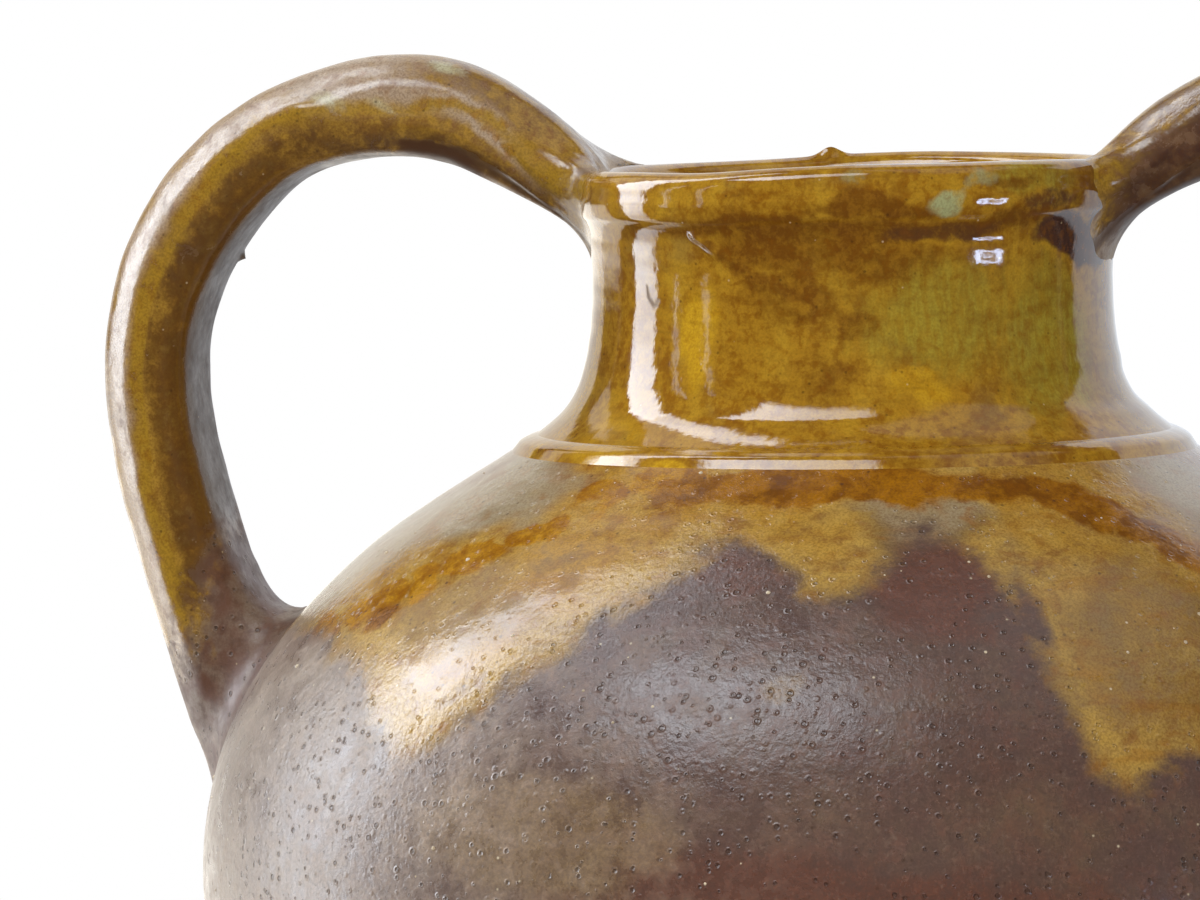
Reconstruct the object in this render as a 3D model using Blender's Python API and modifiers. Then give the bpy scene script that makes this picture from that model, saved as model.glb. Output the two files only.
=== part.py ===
"""Two-handled earthenware pitcher, as the pieces of clay that a potter forms and lutes together.

Metres, +Z up. The origin is the middle of the underside and the two handles lie in the XZ plane.
An outline is a list of (radius, height) points that runs down the outer side of a turned piece.
"""

import math

import bmesh
import bpy
from mathutils import Matrix, Vector
from mathutils.geometry import interpolate_bezier

# Joints between pieces of clay
LUTE_GAP = 0.0003  # the film of slip between two pieces
TURNING_STEPS = 48  # facets round a turned piece
WELD_DISTANCE = 0.00001

# Base: a beaten disc that the wall stands on
BASE_RADIUS = 0.076
BASE_THICKNESS = 0.009
BASE_EDGE_RADIUS = 0.004
BASE_EDGE_SPANS = 3
BASE_WALL = 0.0095  # thickness of the belly's wall where it stands on the base

# Belly: thrown as a bowl up to the widest circle
BELLY_RADIUS = 0.1408
BELLY_HEIGHT = 0.160  # height of the widest circle
BELLY_WALL = 0.0075
BELLY_FOOT_PULL = 0.044  # how far the wall runs straight off the base before it curves
BELLY_FOOT_LEAN = math.radians(31)  # its lean from the vertical there
BELLY_SIDE_PULL = 0.064  # how far the wall runs straight below the widest circle
BELLY_SPANS = 11

# Shoulder: an elliptical dome that ends in a cone under the neck
SHOULDER_RISE = 0.1017  # the ellipse's upright semi-axis
SHOULDER_ARC = math.radians(48)  # how much of the ellipse is used before the cone
SHOULDER_SPANS = 9
NECK_ROOT_RADIUS = 0.0706  # where the cone stops and the neck is luted on

# Neck: a collar, narrowest at its waist
NECK_WAIST_RADIUS = 0.0557
NECK_WAIST_RISE = 0.0354  # waist above root
NECK_TOP_RADIUS = 0.0568
NECK_TOP_RISE = 0.0140  # top above waist
NECK_FLARE_PULL = 0.0108  # how far the root runs straight on from the shoulder's cone
NECK_SIDE_PULL = 0.0246  # how far the collar runs straight below its waist
NECK_WALL = 0.0068
NECK_TOP_SPANS = 3
NECK_SIDE_SPANS = 8

# Rim: a roll of clay on the neck's top
RIM_HEIGHT = 0.0107
RIM_BULGE = 0.0019  # how far the roll stands out from the neck's top
RIM_OVERLAP = 0.0006  # how far it stands in from the neck's bore
RIM_OUTER_PULL = 0.0053  # how far the roll's top runs level before it turns down outside
RIM_INNER_PULL = 0.0037  # and before it turns down into the mouth
RIM_FOOT_PULL = Vector((0.0030, 0.0027))  # how the roll swells off the neck's top
RIM_BORE_PULL = 0.0054  # how far the mouth runs straight up
RIM_OUTER_SPANS = 7
RIM_INNER_SPANS = 4

# Cordon: a flat-backed coil pressed over the joint of neck and shoulder
CORDON_WIDTH = 0.0050
CORDON_PROUD = 0.0009
CORDON_SPANS = 6

# Handles: pulled straps of rounded section
HANDLE_WIDTH = 0.0285
HANDLE_THICKNESS = 0.0217
HANDLE_SQUARENESS = 2.9  # exponent of the section's superellipse
HANDLE_SECTION_POINTS = 16
HANDLE_JOINT_DROP = 0.0058  # upper end's middle, below the rim's top
HANDLE_JOINT_PITCH = math.radians(36)  # fall of the strap towards the rim
HANDLE_JOINT_PULL = 0.0210
HANDLE_CREST_OUT = 0.0408  # crest, out from the rim
HANDLE_CREST_RISE = 0.0120  # crest, above the rim's top
HANDLE_CREST_PULL_IN = 0.0200
HANDLE_REACH = 0.0130  # outermost point, beyond the belly
HANDLE_SIDE_DROP = 0.0431  # outermost point, below the rim's top
HANDLE_SIDE_PULL_DOWN = 0.0200
HANDLE_FOOT_RISE = 0.0312  # lower end's middle, above the widest circle
HANDLE_FOOT_LEAN = math.radians(16)  # lean of the strap where it meets the shoulder
HANDLE_FOOT_PULL = 0.0340
HANDLE_ANCHOR = 0.014  # how far the strap's blank runs on into the wall before it is cut to fit
HANDLE_JOINT_THICKNESS = 0.0171  # the strap is pulled thinner towards the rim
HANDLE_FOOT_THICKNESS = 0.0239  # and stays thicker at its foot
HANDLE_RINGS_PER_SPAN = 10

# Wads: clay pressed round each end of a strap
WAD_SPREAD = 0.0038  # beyond the strap's sides
WAD_HEIGHT = 0.0042  # off the wall
UPPER_WAD_DROP = 0.0012  # the upper wad sits low, to fill the corner under the strap
WAD_SEGMENTS = 20
WAD_RINGS = 10

QUARTER_ARC = 4 * (math.sqrt(2) - 1) / 3  # handle length of a cubic that follows a quarter ellipse

# Heights that follow from the sizes above
CONE_FOOT_RADIUS = BELLY_RADIUS * math.cos(SHOULDER_ARC)
CONE_FOOT_HEIGHT = BELLY_HEIGHT + SHOULDER_RISE * math.sin(SHOULDER_ARC)
CONE_DIRECTION = Vector(
    (-BELLY_RADIUS * math.sin(SHOULDER_ARC), SHOULDER_RISE * math.cos(SHOULDER_ARC))
).normalized()
CONE_NORMAL = Vector((CONE_DIRECTION.y, -CONE_DIRECTION.x))
NECK_ROOT = Vector((CONE_FOOT_RADIUS, CONE_FOOT_HEIGHT)) + CONE_DIRECTION * (
    (CONE_FOOT_RADIUS - NECK_ROOT_RADIUS) / -CONE_DIRECTION.x
)
WAIST_HEIGHT = NECK_ROOT.y + NECK_WAIST_RISE
NECK_TOP = WAIST_HEIGHT + NECK_TOP_RISE
RIM_TOP = NECK_TOP + RIM_HEIGHT
RIM_RADIUS = NECK_TOP_RADIUS + RIM_BULGE
MOUTH_RADIUS = NECK_TOP_RADIUS - NECK_WALL - RIM_OVERLAP
RIM_CREST_RADIUS = (RIM_RADIUS + MOUTH_RADIUS) / 2
RADIAL = Vector((1.0, 0.0))


def curve_points(start, start_handle, end_handle, end, spans):
    """Points of one cubic curve in the (radius, height) plane, both ends included."""
    return [Vector(p) for p in interpolate_bezier(start, start_handle, end_handle, end, spans + 1)]


def ellipse_point(angle):
    """A point of the shoulder's ellipse: angle 0 is the widest circle."""
    return Vector((BELLY_RADIUS * math.cos(angle), BELLY_HEIGHT + SHOULDER_RISE * math.sin(angle)))


def belly_outline():
    """Outer side of the belly's bowl, from just under the widest circle to the base."""
    foot = Vector((BASE_RADIUS, BASE_THICKNESS + LUTE_GAP))
    side = Vector((BELLY_RADIUS, BELLY_HEIGHT))
    lean = Vector((math.sin(BELLY_FOOT_LEAN), math.cos(BELLY_FOOT_LEAN)))
    foot_handle = foot + lean * BELLY_FOOT_PULL
    side_handle = side - Vector((0.0, BELLY_SIDE_PULL))
    return curve_points(side, side_handle, foot_handle, foot, BELLY_SPANS)


def shoulder_outline():
    """Outer side of the shoulder, from just under the neck's joint to just above the widest circle."""
    arc = [ellipse_point(SHOULDER_ARC * (1 - i / SHOULDER_SPANS)) for i in range(SHOULDER_SPANS + 1)]
    arc[-1].y += LUTE_GAP
    return [NECK_ROOT - CONE_DIRECTION * LUTE_GAP / 2] + arc


def neck_outline():
    """Outer side of the collar, from the rim's seat to the joint with the shoulder."""
    waist = Vector((NECK_WAIST_RADIUS, WAIST_HEIGHT))
    top = Vector((NECK_TOP_RADIUS, NECK_TOP))
    root = NECK_ROOT + CONE_DIRECTION * LUTE_GAP / 2
    upright = Vector((0.0, NECK_TOP_RISE / 3))
    upper = curve_points(top, top.lerp(waist, 1 / 3), waist + upright, waist, NECK_TOP_SPANS)
    side_handle = waist - Vector((0.0, NECK_SIDE_PULL))
    root_handle = root + CONE_DIRECTION * NECK_FLARE_PULL
    lower = curve_points(waist, side_handle, root_handle, root, NECK_SIDE_SPANS)
    return upper + lower[1:]


def rim_outer_outline():
    """The roll's outer half, from its crest down to the neck's top."""
    foot = Vector((NECK_TOP_RADIUS, NECK_TOP + LUTE_GAP))
    crest = Vector((RIM_CREST_RADIUS, RIM_TOP))
    return curve_points(crest, crest + RADIAL * RIM_OUTER_PULL, foot + RIM_FOOT_PULL, foot, RIM_OUTER_SPANS)


def rim_outline():
    """The roll's whole section: down its outer half, then up the mouth to the crest again."""
    foot = Vector((MOUTH_RADIUS, NECK_TOP + LUTE_GAP))
    crest = Vector((RIM_CREST_RADIUS, RIM_TOP))
    bore_handle = foot + Vector((0.0, RIM_BORE_PULL))
    inner = curve_points(foot, bore_handle, crest - RADIAL * RIM_INNER_PULL, crest, RIM_INNER_SPANS)
    return rim_outer_outline() + inner[:-1]


def cordon_outline():
    """The coil's section: a flat back across the joint and a low arc outside it."""
    outward = CONE_NORMAL * LUTE_GAP
    upper_end = NECK_ROOT + CONE_DIRECTION * CORDON_WIDTH / 2 + outward
    lower_end = NECK_ROOT - CONE_DIRECTION * CORDON_WIDTH / 2 + outward
    pull = CONE_NORMAL * CORDON_PROUD * 4 / 3
    return curve_points(upper_end, upper_end + pull, lower_end + pull, lower_end, CORDON_SPANS)


def base_outline():
    """The disc's section, from the middle of its upper face to the middle of the underside."""
    centre = Vector((BASE_RADIUS - BASE_EDGE_RADIUS, BASE_EDGE_RADIUS))
    turns = [math.pi / 2 * i / BASE_EDGE_SPANS for i in range(BASE_EDGE_SPANS + 1)]
    edge = [centre + Vector((math.cos(turn), -math.sin(turn))) * BASE_EDGE_RADIUS for turn in turns]
    upper_face = [Vector((0.0, BASE_THICKNESS)), Vector((BASE_RADIUS, BASE_THICKNESS))]
    return upper_face + edge + [Vector((0.0, 0.0))]


def walled(outline, top_wall, bottom_wall, top_normal, bottom_normal):
    """Closes an outer outline with an inner one, at a wall that changes evenly from top to bottom."""
    last = len(outline) - 1
    inner = []
    for i, point in enumerate(outline):
        if i == 0:
            normal = top_normal
        elif i == last:
            normal = bottom_normal
        else:
            along = outline[i + 1] - outline[i - 1]
            normal = Vector((-along.y, along.x)).normalized()
        wall = top_wall + (bottom_wall - top_wall) * i / last
        inner.append(point - normal * wall)
    return outline + inner[::-1]


def envelope_outline():
    """Everything inside the outer surface, a film of slip larger, and open to the sky above the rim."""
    sky = RIM_TOP + 2 * HANDLE_CREST_RISE + HANDLE_THICKNESS
    surface = rim_outer_outline() + neck_outline()[1:] + shoulder_outline() + belly_outline()[1:]
    grown = [
        upper + Vector((-(lower - upper).y, (lower - upper).x)).normalized() * LUTE_GAP
        for upper, lower in zip(surface, surface[1:])
    ]
    bottom = Vector((BASE_RADIUS, BASE_THICKNESS))
    crest_radius = grown[0].x
    top = [Vector((0.0, sky)), Vector((crest_radius, sky))]
    return top + grown + [bottom, Vector((0.0, BASE_THICKNESS))]


def clay(name, colour, roughness):
    """A fired surface: glossy where it carries glaze, duller where it is bare."""
    material = bpy.data.materials.new(name)
    material.use_nodes = True
    shader = material.node_tree.nodes["Principled BSDF"]
    shader.inputs["Base Color"].default_value = (*colour, 1.0)
    shader.inputs["Roughness"].default_value = roughness
    shader.inputs["Metallic"].default_value = 0.0
    return material


def new_object(name, data, collection, material=None):
    """A linked object. One with no material is a cutter, which shows as a wire."""
    obj = bpy.data.objects.new(name, data)
    collection.objects.link(obj)
    if material is None:
        obj.hide_render = True
        obj.display_type = "WIRE"
    else:
        data.materials.append(material)
    return obj


def turned(name, outline, collection, material=None, ring=True):
    """An outline turned once about Z. A ring's outline closes on itself, and a disc's ends on the axis."""
    count = len(outline)
    edges = [(i, i + 1) for i in range(count - 1)]
    if ring:
        edges.append((count - 1, 0))
    mesh = bpy.data.meshes.new(name)
    mesh.from_pydata([(p.x, 0.0, p.y) for p in outline], edges, [])
    obj = new_object(name, mesh, collection, material)
    screw = obj.modifiers.new("turning", "SCREW")
    screw.axis = "Z"
    screw.steps = screw.render_steps = TURNING_STEPS
    screw.use_merge_vertices = True
    screw.merge_threshold = WELD_DISTANCE
    screw.use_smooth_shade = True
    return obj


def foot_point():
    """The middle of the strap's lower end, on the shoulder."""
    return ellipse_point(math.asin(HANDLE_FOOT_RISE / SHOULDER_RISE))


def joint_point():
    """The middle of the strap's upper end, on the side of the rim."""
    return Vector((RIM_RADIUS, RIM_TOP - HANDLE_JOINT_DROP))


def handle_route():
    """The strap's middle line in the (radius, height) plane: point, inner handle, outer handle, size."""
    into_rim = Vector((-math.cos(HANDLE_JOINT_PITCH), -math.sin(HANDLE_JOINT_PITCH)))
    into_shoulder = Vector((-math.sin(HANDLE_FOOT_LEAN), -math.cos(HANDLE_FOOT_LEAN)))
    joint = joint_point()
    crest = Vector((RIM_RADIUS + HANDLE_CREST_OUT, RIM_TOP + HANDLE_CREST_RISE))
    side = Vector((BELLY_RADIUS + HANDLE_REACH, RIM_TOP - HANDLE_SIDE_DROP))
    foot = foot_point()
    bend = side - crest
    crest_inward = Vector((HANDLE_CREST_PULL_IN, 0.0))
    crest_outward = Vector((bend.x * QUARTER_ARC, 0.0))
    side_up = Vector((0.0, -bend.y * QUARTER_ARC))
    side_down = Vector((0.0, -HANDLE_SIDE_PULL_DOWN))
    joint_end = joint + into_rim * HANDLE_ANCHOR
    foot_end = foot + into_shoulder * HANDLE_ANCHOR
    joint_out = joint - into_rim * HANDLE_JOINT_PULL
    foot_out = foot - into_shoulder * HANDLE_FOOT_PULL
    joint_size = HANDLE_JOINT_THICKNESS / HANDLE_THICKNESS
    foot_size = HANDLE_FOOT_THICKNESS / HANDLE_THICKNESS
    return [
        (joint_end, joint_end + into_rim * HANDLE_ANCHOR, joint_out, joint_size),
        (crest, crest - crest_inward, crest + crest_outward, 1.0),
        (side, side + side_up, side + side_down, 1.0),
        (foot_end, foot_out, foot_end + into_shoulder * HANDLE_ANCHOR, foot_size),
    ]


def section_curve(name, grow, collection):
    """The strap's section, a superellipse grown outwards by a clearance."""
    curve = bpy.data.curves.new(name, "CURVE")
    curve.dimensions = "2D"
    spline = curve.splines.new("POLY")
    spline.points.add(HANDLE_SECTION_POINTS - 1)
    spline.use_cyclic_u = True
    for i, point in enumerate(spline.points):
        turn = 2 * math.pi * (i + 0.5) / HANDLE_SECTION_POINTS
        across, along = math.cos(turn), math.sin(turn)
        x = math.copysign(abs(across) ** (2 / HANDLE_SQUARENESS), across)
        y = math.copysign(abs(along) ** (2 / HANDLE_SQUARENESS), along)
        point.co = (x * (HANDLE_WIDTH / 2 + grow), y * (HANDLE_THICKNESS / 2 + grow), 0.0, 1.0)
    return new_object(name, curve, collection)


def strap_mesh(name, grow, cutters):
    """The whole blank of a strap on the +X side, as a closed mesh."""
    curve = bpy.data.curves.new(name + "_route", "CURVE")
    curve.dimensions = "3D"
    curve.bevel_mode = "OBJECT"
    curve.bevel_object = section_curve(name + "_section", grow, cutters)
    curve.use_fill_caps = True
    spline = curve.splines.new("BEZIER")
    spline.resolution_u = HANDLE_RINGS_PER_SPAN
    route = handle_route()
    spline.bezier_points.add(len(route) - 1)
    for knot, (point, inner, outer, size) in zip(spline.bezier_points, route):
        knot.handle_left_type = knot.handle_right_type = "FREE"
        knot.co = (point.x, 0.0, point.y)
        knot.handle_left = (inner.x, 0.0, inner.y)
        knot.handle_right = (outer.x, 0.0, outer.y)
        knot.radius = size
    guide = new_object(name + "_route", curve, cutters)
    bpy.context.view_layer.update()
    evaluated = guide.evaluated_get(bpy.context.evaluated_depsgraph_get())
    mesh = bpy.data.meshes.new_from_object(evaluated)
    bpy.data.objects.remove(guide)
    welded = bmesh.new()
    welded.from_mesh(mesh)
    bmesh.ops.remove_doubles(welded, verts=welded.verts, dist=WELD_DISTANCE)
    bmesh.ops.recalc_face_normals(welded, faces=welded.faces)
    welded.to_mesh(mesh)
    welded.free()
    mesh.materials.clear()
    mesh.shade_smooth()
    return mesh


def wad_mesh(name, centre, normal, along_wall):
    """A low mound of clay on the wall: normal points off it and along_wall is its half length there."""
    upward = Vector((-normal.y, normal.x))
    across = HANDLE_WIDTH / 2 + WAD_SPREAD
    columns = ((normal.x, 0.0, normal.y), (0.0, 1.0, 0.0), (upward.x, 0.0, upward.y))
    turn = Matrix(columns).transposed().to_4x4()
    size = Matrix.Diagonal((WAD_HEIGHT, across, along_wall, 1.0))
    place = Matrix.Translation((centre.x, 0.0, centre.y))
    mound = bmesh.new()
    bmesh.ops.create_uvsphere(
        mound, u_segments=WAD_SEGMENTS, v_segments=WAD_RINGS, radius=1.0, matrix=place @ turn @ size
    )
    bmesh.ops.recalc_face_normals(mound, faces=mound.faces)
    mesh = bpy.data.meshes.new(name)
    mound.to_mesh(mesh)
    mound.free()
    mesh.shade_smooth()
    return mesh


def upper_wad_mesh():
    """The mound at the rim, a little below the strap's middle."""
    half_length = HANDLE_JOINT_THICKNESS / 2 / math.cos(HANDLE_JOINT_PITCH) + WAD_SPREAD
    return wad_mesh("upper_wad", joint_point() - Vector((0.0, UPPER_WAD_DROP)), RADIAL, half_length)


def lower_wad_mesh():
    """The mound on the shoulder, round the strap's slanting foot."""
    foot = foot_point()
    normal = Vector((foot.x / BELLY_RADIUS**2, (foot.y - BELLY_HEIGHT) / SHOULDER_RISE**2)).normalized()
    into_shoulder = Vector((-math.sin(HANDLE_FOOT_LEAN), -math.cos(HANDLE_FOOT_LEAN)))
    slant = abs(into_shoulder.dot(normal))
    half_length = HANDLE_FOOT_THICKNESS / 2 / slant + WAD_SPREAD
    return wad_mesh("lower_wad", foot, normal, half_length)


def cut(obj, *cutters):
    """Cuts an object back from each cutter in turn."""
    for cutter in cutters:
        boolean = obj.modifiers.new("fit_to_" + cutter.name, "BOOLEAN")
        boolean.operation = "DIFFERENCE"
        boolean.solver = "EXACT"
        boolean.object = cutter


def build_wall(parts):
    """The turned pieces, from the base up to the rim."""
    bare = clay("bare_clay", (0.30, 0.15, 0.09), 0.75)
    skin = clay("purple_brown_skin", (0.15, 0.095, 0.075), 0.45)
    ochre = clay("ochre_glaze", (0.29, 0.17, 0.045), 0.2)
    olive = clay("olive_glaze", (0.25, 0.16, 0.035), 0.16)
    amber = clay("amber_glaze", (0.27, 0.11, 0.02), 0.16)
    belly = walled(belly_outline(), BELLY_WALL, BASE_WALL, RADIAL, RADIAL)
    shoulder = walled(shoulder_outline(), BELLY_WALL, BELLY_WALL, CONE_NORMAL, RADIAL)
    neck = walled(neck_outline(), NECK_WALL, BELLY_WALL, RADIAL, CONE_NORMAL)
    return [
        turned("base_disc", base_outline(), parts, bare, ring=False),
        turned("belly_bowl", belly, parts, skin),
        turned("shoulder", shoulder, parts, ochre),
        turned("neck_collar", neck, parts, olive),
        turned("neck_cordon", cordon_outline(), parts, amber),
        turned("rim_roll", rim_outline(), parts, amber),
    ]


def build_handles(parts, cutters):
    """Both straps and the wads at their ends. Each side is the same work, turned half round."""
    brown = clay("brown_glaze", (0.22, 0.11, 0.03), 0.18)
    dull = clay("thin_glaze", (0.24, 0.15, 0.08), 0.35)
    envelope = turned("wall_envelope", envelope_outline(), cutters, ring=False)
    strap = strap_mesh("strap", 0.0, cutters)
    strap.materials.append(brown)
    grown_strap = strap_mesh("grown_strap", LUTE_GAP, cutters)
    wads = {"upper_wad": upper_wad_mesh(), "lower_wad": lower_wad_mesh()}
    for mesh in wads.values():
        mesh.materials.append(dull)
    made = []
    for side, half_turn in (("right", 0.0), ("left", math.pi)):
        strap_cutter = new_object(side + "_strap_cutter", grown_strap, cutters)
        strap_cutter.rotation_euler.z = half_turn
        handle = bpy.data.objects.new(side + "_handle", strap)
        cut(handle, envelope)
        made.append(handle)
        for place, mesh in wads.items():
            wad = bpy.data.objects.new(side + "_" + place, mesh)
            cut(wad, envelope, strap_cutter)
            made.append(wad)
        for obj in made[-1 - len(wads) :]:
            parts.objects.link(obj)
            obj.rotation_euler.z = half_turn
    return made


def main():
    for obj in list(bpy.data.objects):
        bpy.data.objects.remove(obj)
    parts = bpy.data.collections.new("two_handled_pitcher")
    cutters = bpy.data.collections.new("cutters")
    for collection in (parts, cutters):
        bpy.context.scene.collection.children.link(collection)
    pitcher = bpy.data.objects.new("pitcher", None)
    parts.objects.link(pitcher)
    for obj in build_wall(parts) + build_handles(parts, cutters):
        obj.parent = pitcher


main()
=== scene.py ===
# %% [markdown]
# # A glazed two-handled pitcher
# The pitcher is thrown on a wheel in a few pieces, luted together, given two pulled handles
# and dipped in a honey-coloured glaze that runs down over a purple-brown clay skin.
# The packed CAD model is the fixed frame: every finished piece stands for one or more of its nodes.

# %% Load the frame
import math

import bpy
import numpy as np
from mathutils import Matrix, Vector


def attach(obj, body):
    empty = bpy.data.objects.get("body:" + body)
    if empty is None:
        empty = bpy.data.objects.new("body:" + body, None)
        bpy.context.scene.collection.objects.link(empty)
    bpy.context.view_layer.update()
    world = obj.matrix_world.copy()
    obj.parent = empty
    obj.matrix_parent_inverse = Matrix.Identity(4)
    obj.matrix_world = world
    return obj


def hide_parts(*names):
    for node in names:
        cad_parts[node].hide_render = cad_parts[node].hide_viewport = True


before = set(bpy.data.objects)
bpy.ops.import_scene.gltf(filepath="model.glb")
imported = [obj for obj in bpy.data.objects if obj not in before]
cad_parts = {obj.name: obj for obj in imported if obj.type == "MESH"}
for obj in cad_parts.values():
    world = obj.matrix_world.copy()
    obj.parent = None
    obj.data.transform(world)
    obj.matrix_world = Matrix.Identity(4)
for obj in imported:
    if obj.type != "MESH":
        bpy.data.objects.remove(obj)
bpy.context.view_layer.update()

# %% [markdown]
# ## The camera
# The photograph was taken from a little above the rim with a long lens, so the mouth shows as a
# thin sliver. A bearing is an angle round the pitcher: 0 degrees faces the camera and positive
# bearings lie to its right. Every mark on the glaze is later placed by bearing and height.

# %% Camera
VIEW_AZIMUTH = math.radians(9)
EYE_HEIGHT = 0.346
EYE_DISTANCE = 1.5
AIM_TO_THE_RIGHT = -0.0545
AIM_HEIGHT = 0.249
ROLL = math.radians(-0.55)
LENS = 210.0
UP = Vector((0.0, 0.0, 1.0))
TO_EYE = Vector((math.sin(VIEW_AZIMUTH), -math.cos(VIEW_AZIMUTH), 0.0))
TO_RIGHT = Vector((math.cos(VIEW_AZIMUTH), math.sin(VIEW_AZIMUTH), 0.0))


def aim_camera():
    """A camera on the eye point that looks at the aim point, rolled a little."""
    eye = TO_EYE * EYE_DISTANCE + UP * EYE_HEIGHT
    ahead = (TO_RIGHT * AIM_TO_THE_RIGHT + UP * AIM_HEIGHT - eye).normalized()
    side = ahead.cross(UP).normalized()
    top = side.cross(ahead)
    rolled_side = side * math.cos(ROLL) + top * math.sin(ROLL)
    rolled_top = top * math.cos(ROLL) - side * math.sin(ROLL)
    data = bpy.data.cameras.new("camera")
    data.lens = LENS
    data.sensor_width = 36.0
    data.sensor_fit = "HORIZONTAL"
    camera = bpy.data.objects.new("camera", data)
    camera.matrix_world = (
        Matrix.Translation(eye) @ Matrix((rolled_side, rolled_top, -ahead)).transposed().to_4x4()
    )
    bpy.context.scene.collection.objects.link(camera)
    bpy.context.scene.camera = camera
    return camera


print("camera", aim_camera().matrix_world.translation[:])

# %% [markdown]
# ## The wall's outline
# A thrown pot is an outline turned about an axis. The outline is written with the CAD model's own
# sizes, as cubic curves of (radius, height) that run down the outside from the rim to the base.
# Only the rim's edge and the cove under it are finer than in the CAD model.

# %% Outline of the wall
BASE_RADIUS, BASE_THICKNESS, BASE_EDGE = 0.076, 0.009, 0.004
BELLY_RADIUS, BELLY_HEIGHT, SHOULDER_RISE = 0.1408, 0.160, 0.1017
SHOULDER_ARC = math.radians(48)
BELLY_FOOT_LEAN = math.radians(31)
BELLY_FOOT_PULL, BELLY_SIDE_PULL = 0.044, 0.064
NECK_ROOT_RADIUS, NECK_WAIST_RADIUS, NECK_TOP_RADIUS = 0.0706, 0.0557, 0.0568
NECK_WAIST_RISE, NECK_TOP_RISE, RIM_HEIGHT = 0.0354, 0.0140, 0.0107
NECK_FLARE_PULL, NECK_SIDE_PULL = 0.0108, 0.0246
RIM_BULGE, MOUTH_RADIUS = 0.0019, 0.0494
BASE_WALL, BELLY_WALL = 0.0095, 0.0075


def at(radius, height):
    return np.array((radius, height))


def cubic(start, start_pull, end_pull, end, count=60):
    """Points of one cubic curve. A pull is a handle's offset from its own end."""
    t = np.linspace(0, 1, count)[:, None]
    a, b = start + start_pull, end + end_pull
    return (1 - t) ** 3 * start + 3 * (1 - t) ** 2 * t * a + 3 * (1 - t) * t**2 * b + t**3 * end


def join(*curves):
    return np.vstack([curves[0]] + [c[1:] for c in curves[1:]])


def run_along(points):
    """The length along a line of points, up to each of them."""
    return np.r_[0, np.cumsum(np.linalg.norm(np.diff(points, axis=0), axis=1))]


def spaced(points, spacing):
    """The same outline with points at an even spacing."""
    run = run_along(points)
    even = np.linspace(0, run[-1], max(2, round(run[-1] / spacing) + 1))
    return np.c_[np.interp(even, run, points[:, 0]), np.interp(even, run, points[:, 1])]


def outline_normals(points):
    along = np.gradient(points, axis=0)
    normal = np.c_[-along[:, 1], along[:, 0]]
    return normal / np.linalg.norm(normal, axis=1)[:, None]


cone_foot = at(BELLY_RADIUS * math.cos(SHOULDER_ARC), BELLY_HEIGHT + SHOULDER_RISE * math.sin(SHOULDER_ARC))
cone = at(-BELLY_RADIUS * math.sin(SHOULDER_ARC), SHOULDER_RISE * math.cos(SHOULDER_ARC))
cone = cone / np.linalg.norm(cone)
cone_normal = at(cone[1], -cone[0])
neck_root = cone_foot + cone * (cone_foot[0] - NECK_ROOT_RADIUS) / -cone[0]
waist = at(NECK_WAIST_RADIUS, neck_root[1] + NECK_WAIST_RISE)
NECK_TOP = waist[1] + NECK_TOP_RISE
RIM_TOP = NECK_TOP + RIM_HEIGHT
RIM_RADIUS = NECK_TOP_RADIUS + RIM_BULGE
rim_crest = at((RIM_RADIUS + MOUTH_RADIUS) / 2, RIM_TOP)
rim_brow = at(RIM_RADIUS - 0.0004, RIM_TOP - 0.0042)
rim_ridge = at(RIM_RADIUS, NECK_TOP + 0.0042)
rim_seat = at(RIM_RADIUS - 0.0009, NECK_TOP)
cove = at(NECK_TOP_RADIUS - 0.0006, NECK_TOP - 0.0048)
belly_side = at(BELLY_RADIUS, BELLY_HEIGHT)
belly_foot = at(BASE_RADIUS, BASE_THICKNESS)

rim_skin = join(
    cubic(rim_crest, at(0.0030, 0), at(0, 0.0024), rim_brow),
    cubic(rim_brow, at(0.0001, -0.0008), at(-0.0001, 0.0008), rim_ridge),
    cubic(rim_ridge, at(-0.0002, -0.0024), at(0.00055, 0.0003), rim_seat),
)
neck_skin = join(
    cubic(rim_seat, at(-0.0008, -0.0011), at(0.0002, 0.0018), cove),
    cubic(cove, at(-0.0001, -0.0030), at(0, 0.0034), waist),
    cubic(waist, at(0, -NECK_SIDE_PULL), cone * NECK_FLARE_PULL, neck_root),
)
dome = np.linspace(SHOULDER_ARC, 0, 120)[:, None]
shoulder_skin = np.vstack(
    [neck_root, np.hstack([BELLY_RADIUS * np.cos(dome), BELLY_HEIGHT + SHOULDER_RISE * np.sin(dome)])]
)
foot_pull = at(math.sin(BELLY_FOOT_LEAN), math.cos(BELLY_FOOT_LEAN)) * BELLY_FOOT_PULL
belly_skin = cubic(belly_side, at(0, -BELLY_SIDE_PULL), foot_pull, belly_foot, 160)
mouth_skin = cubic(at(MOUTH_RADIUS, NECK_TOP), at(0, 0.0054), at(-0.0037, 0), rim_crest)
whole_skin = join(mouth_skin, rim_skin, neck_skin, shoulder_skin, belly_skin)
print("rim top", RIM_TOP, "neck root", neck_root)

# %% [markdown]
# ## Noise and places
# A hand-made pot is never quite even. This small lattice noise is written with numpy, so that the
# relief of the wall, the marks in the glaze and the handles can all read the same field.

# %% Noise, bearings and soft edges
def lattice_value(x, y, z, seed):
    """A fixed value from -1 to 1 for each point of a lattice."""
    with np.errstate(over="ignore"):
        mixed = x * np.uint32(374761393) + y * np.uint32(668265263) + z * np.uint32(2246822519)
        mixed = mixed + np.uint32(seed * 3266489917 % 2**32)
        mixed = (mixed ^ (mixed >> np.uint32(13))) * np.uint32(1274126177)
        mixed = mixed ^ (mixed >> np.uint32(16))
    return mixed.astype(np.float64) / 2**31 - 1


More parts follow.
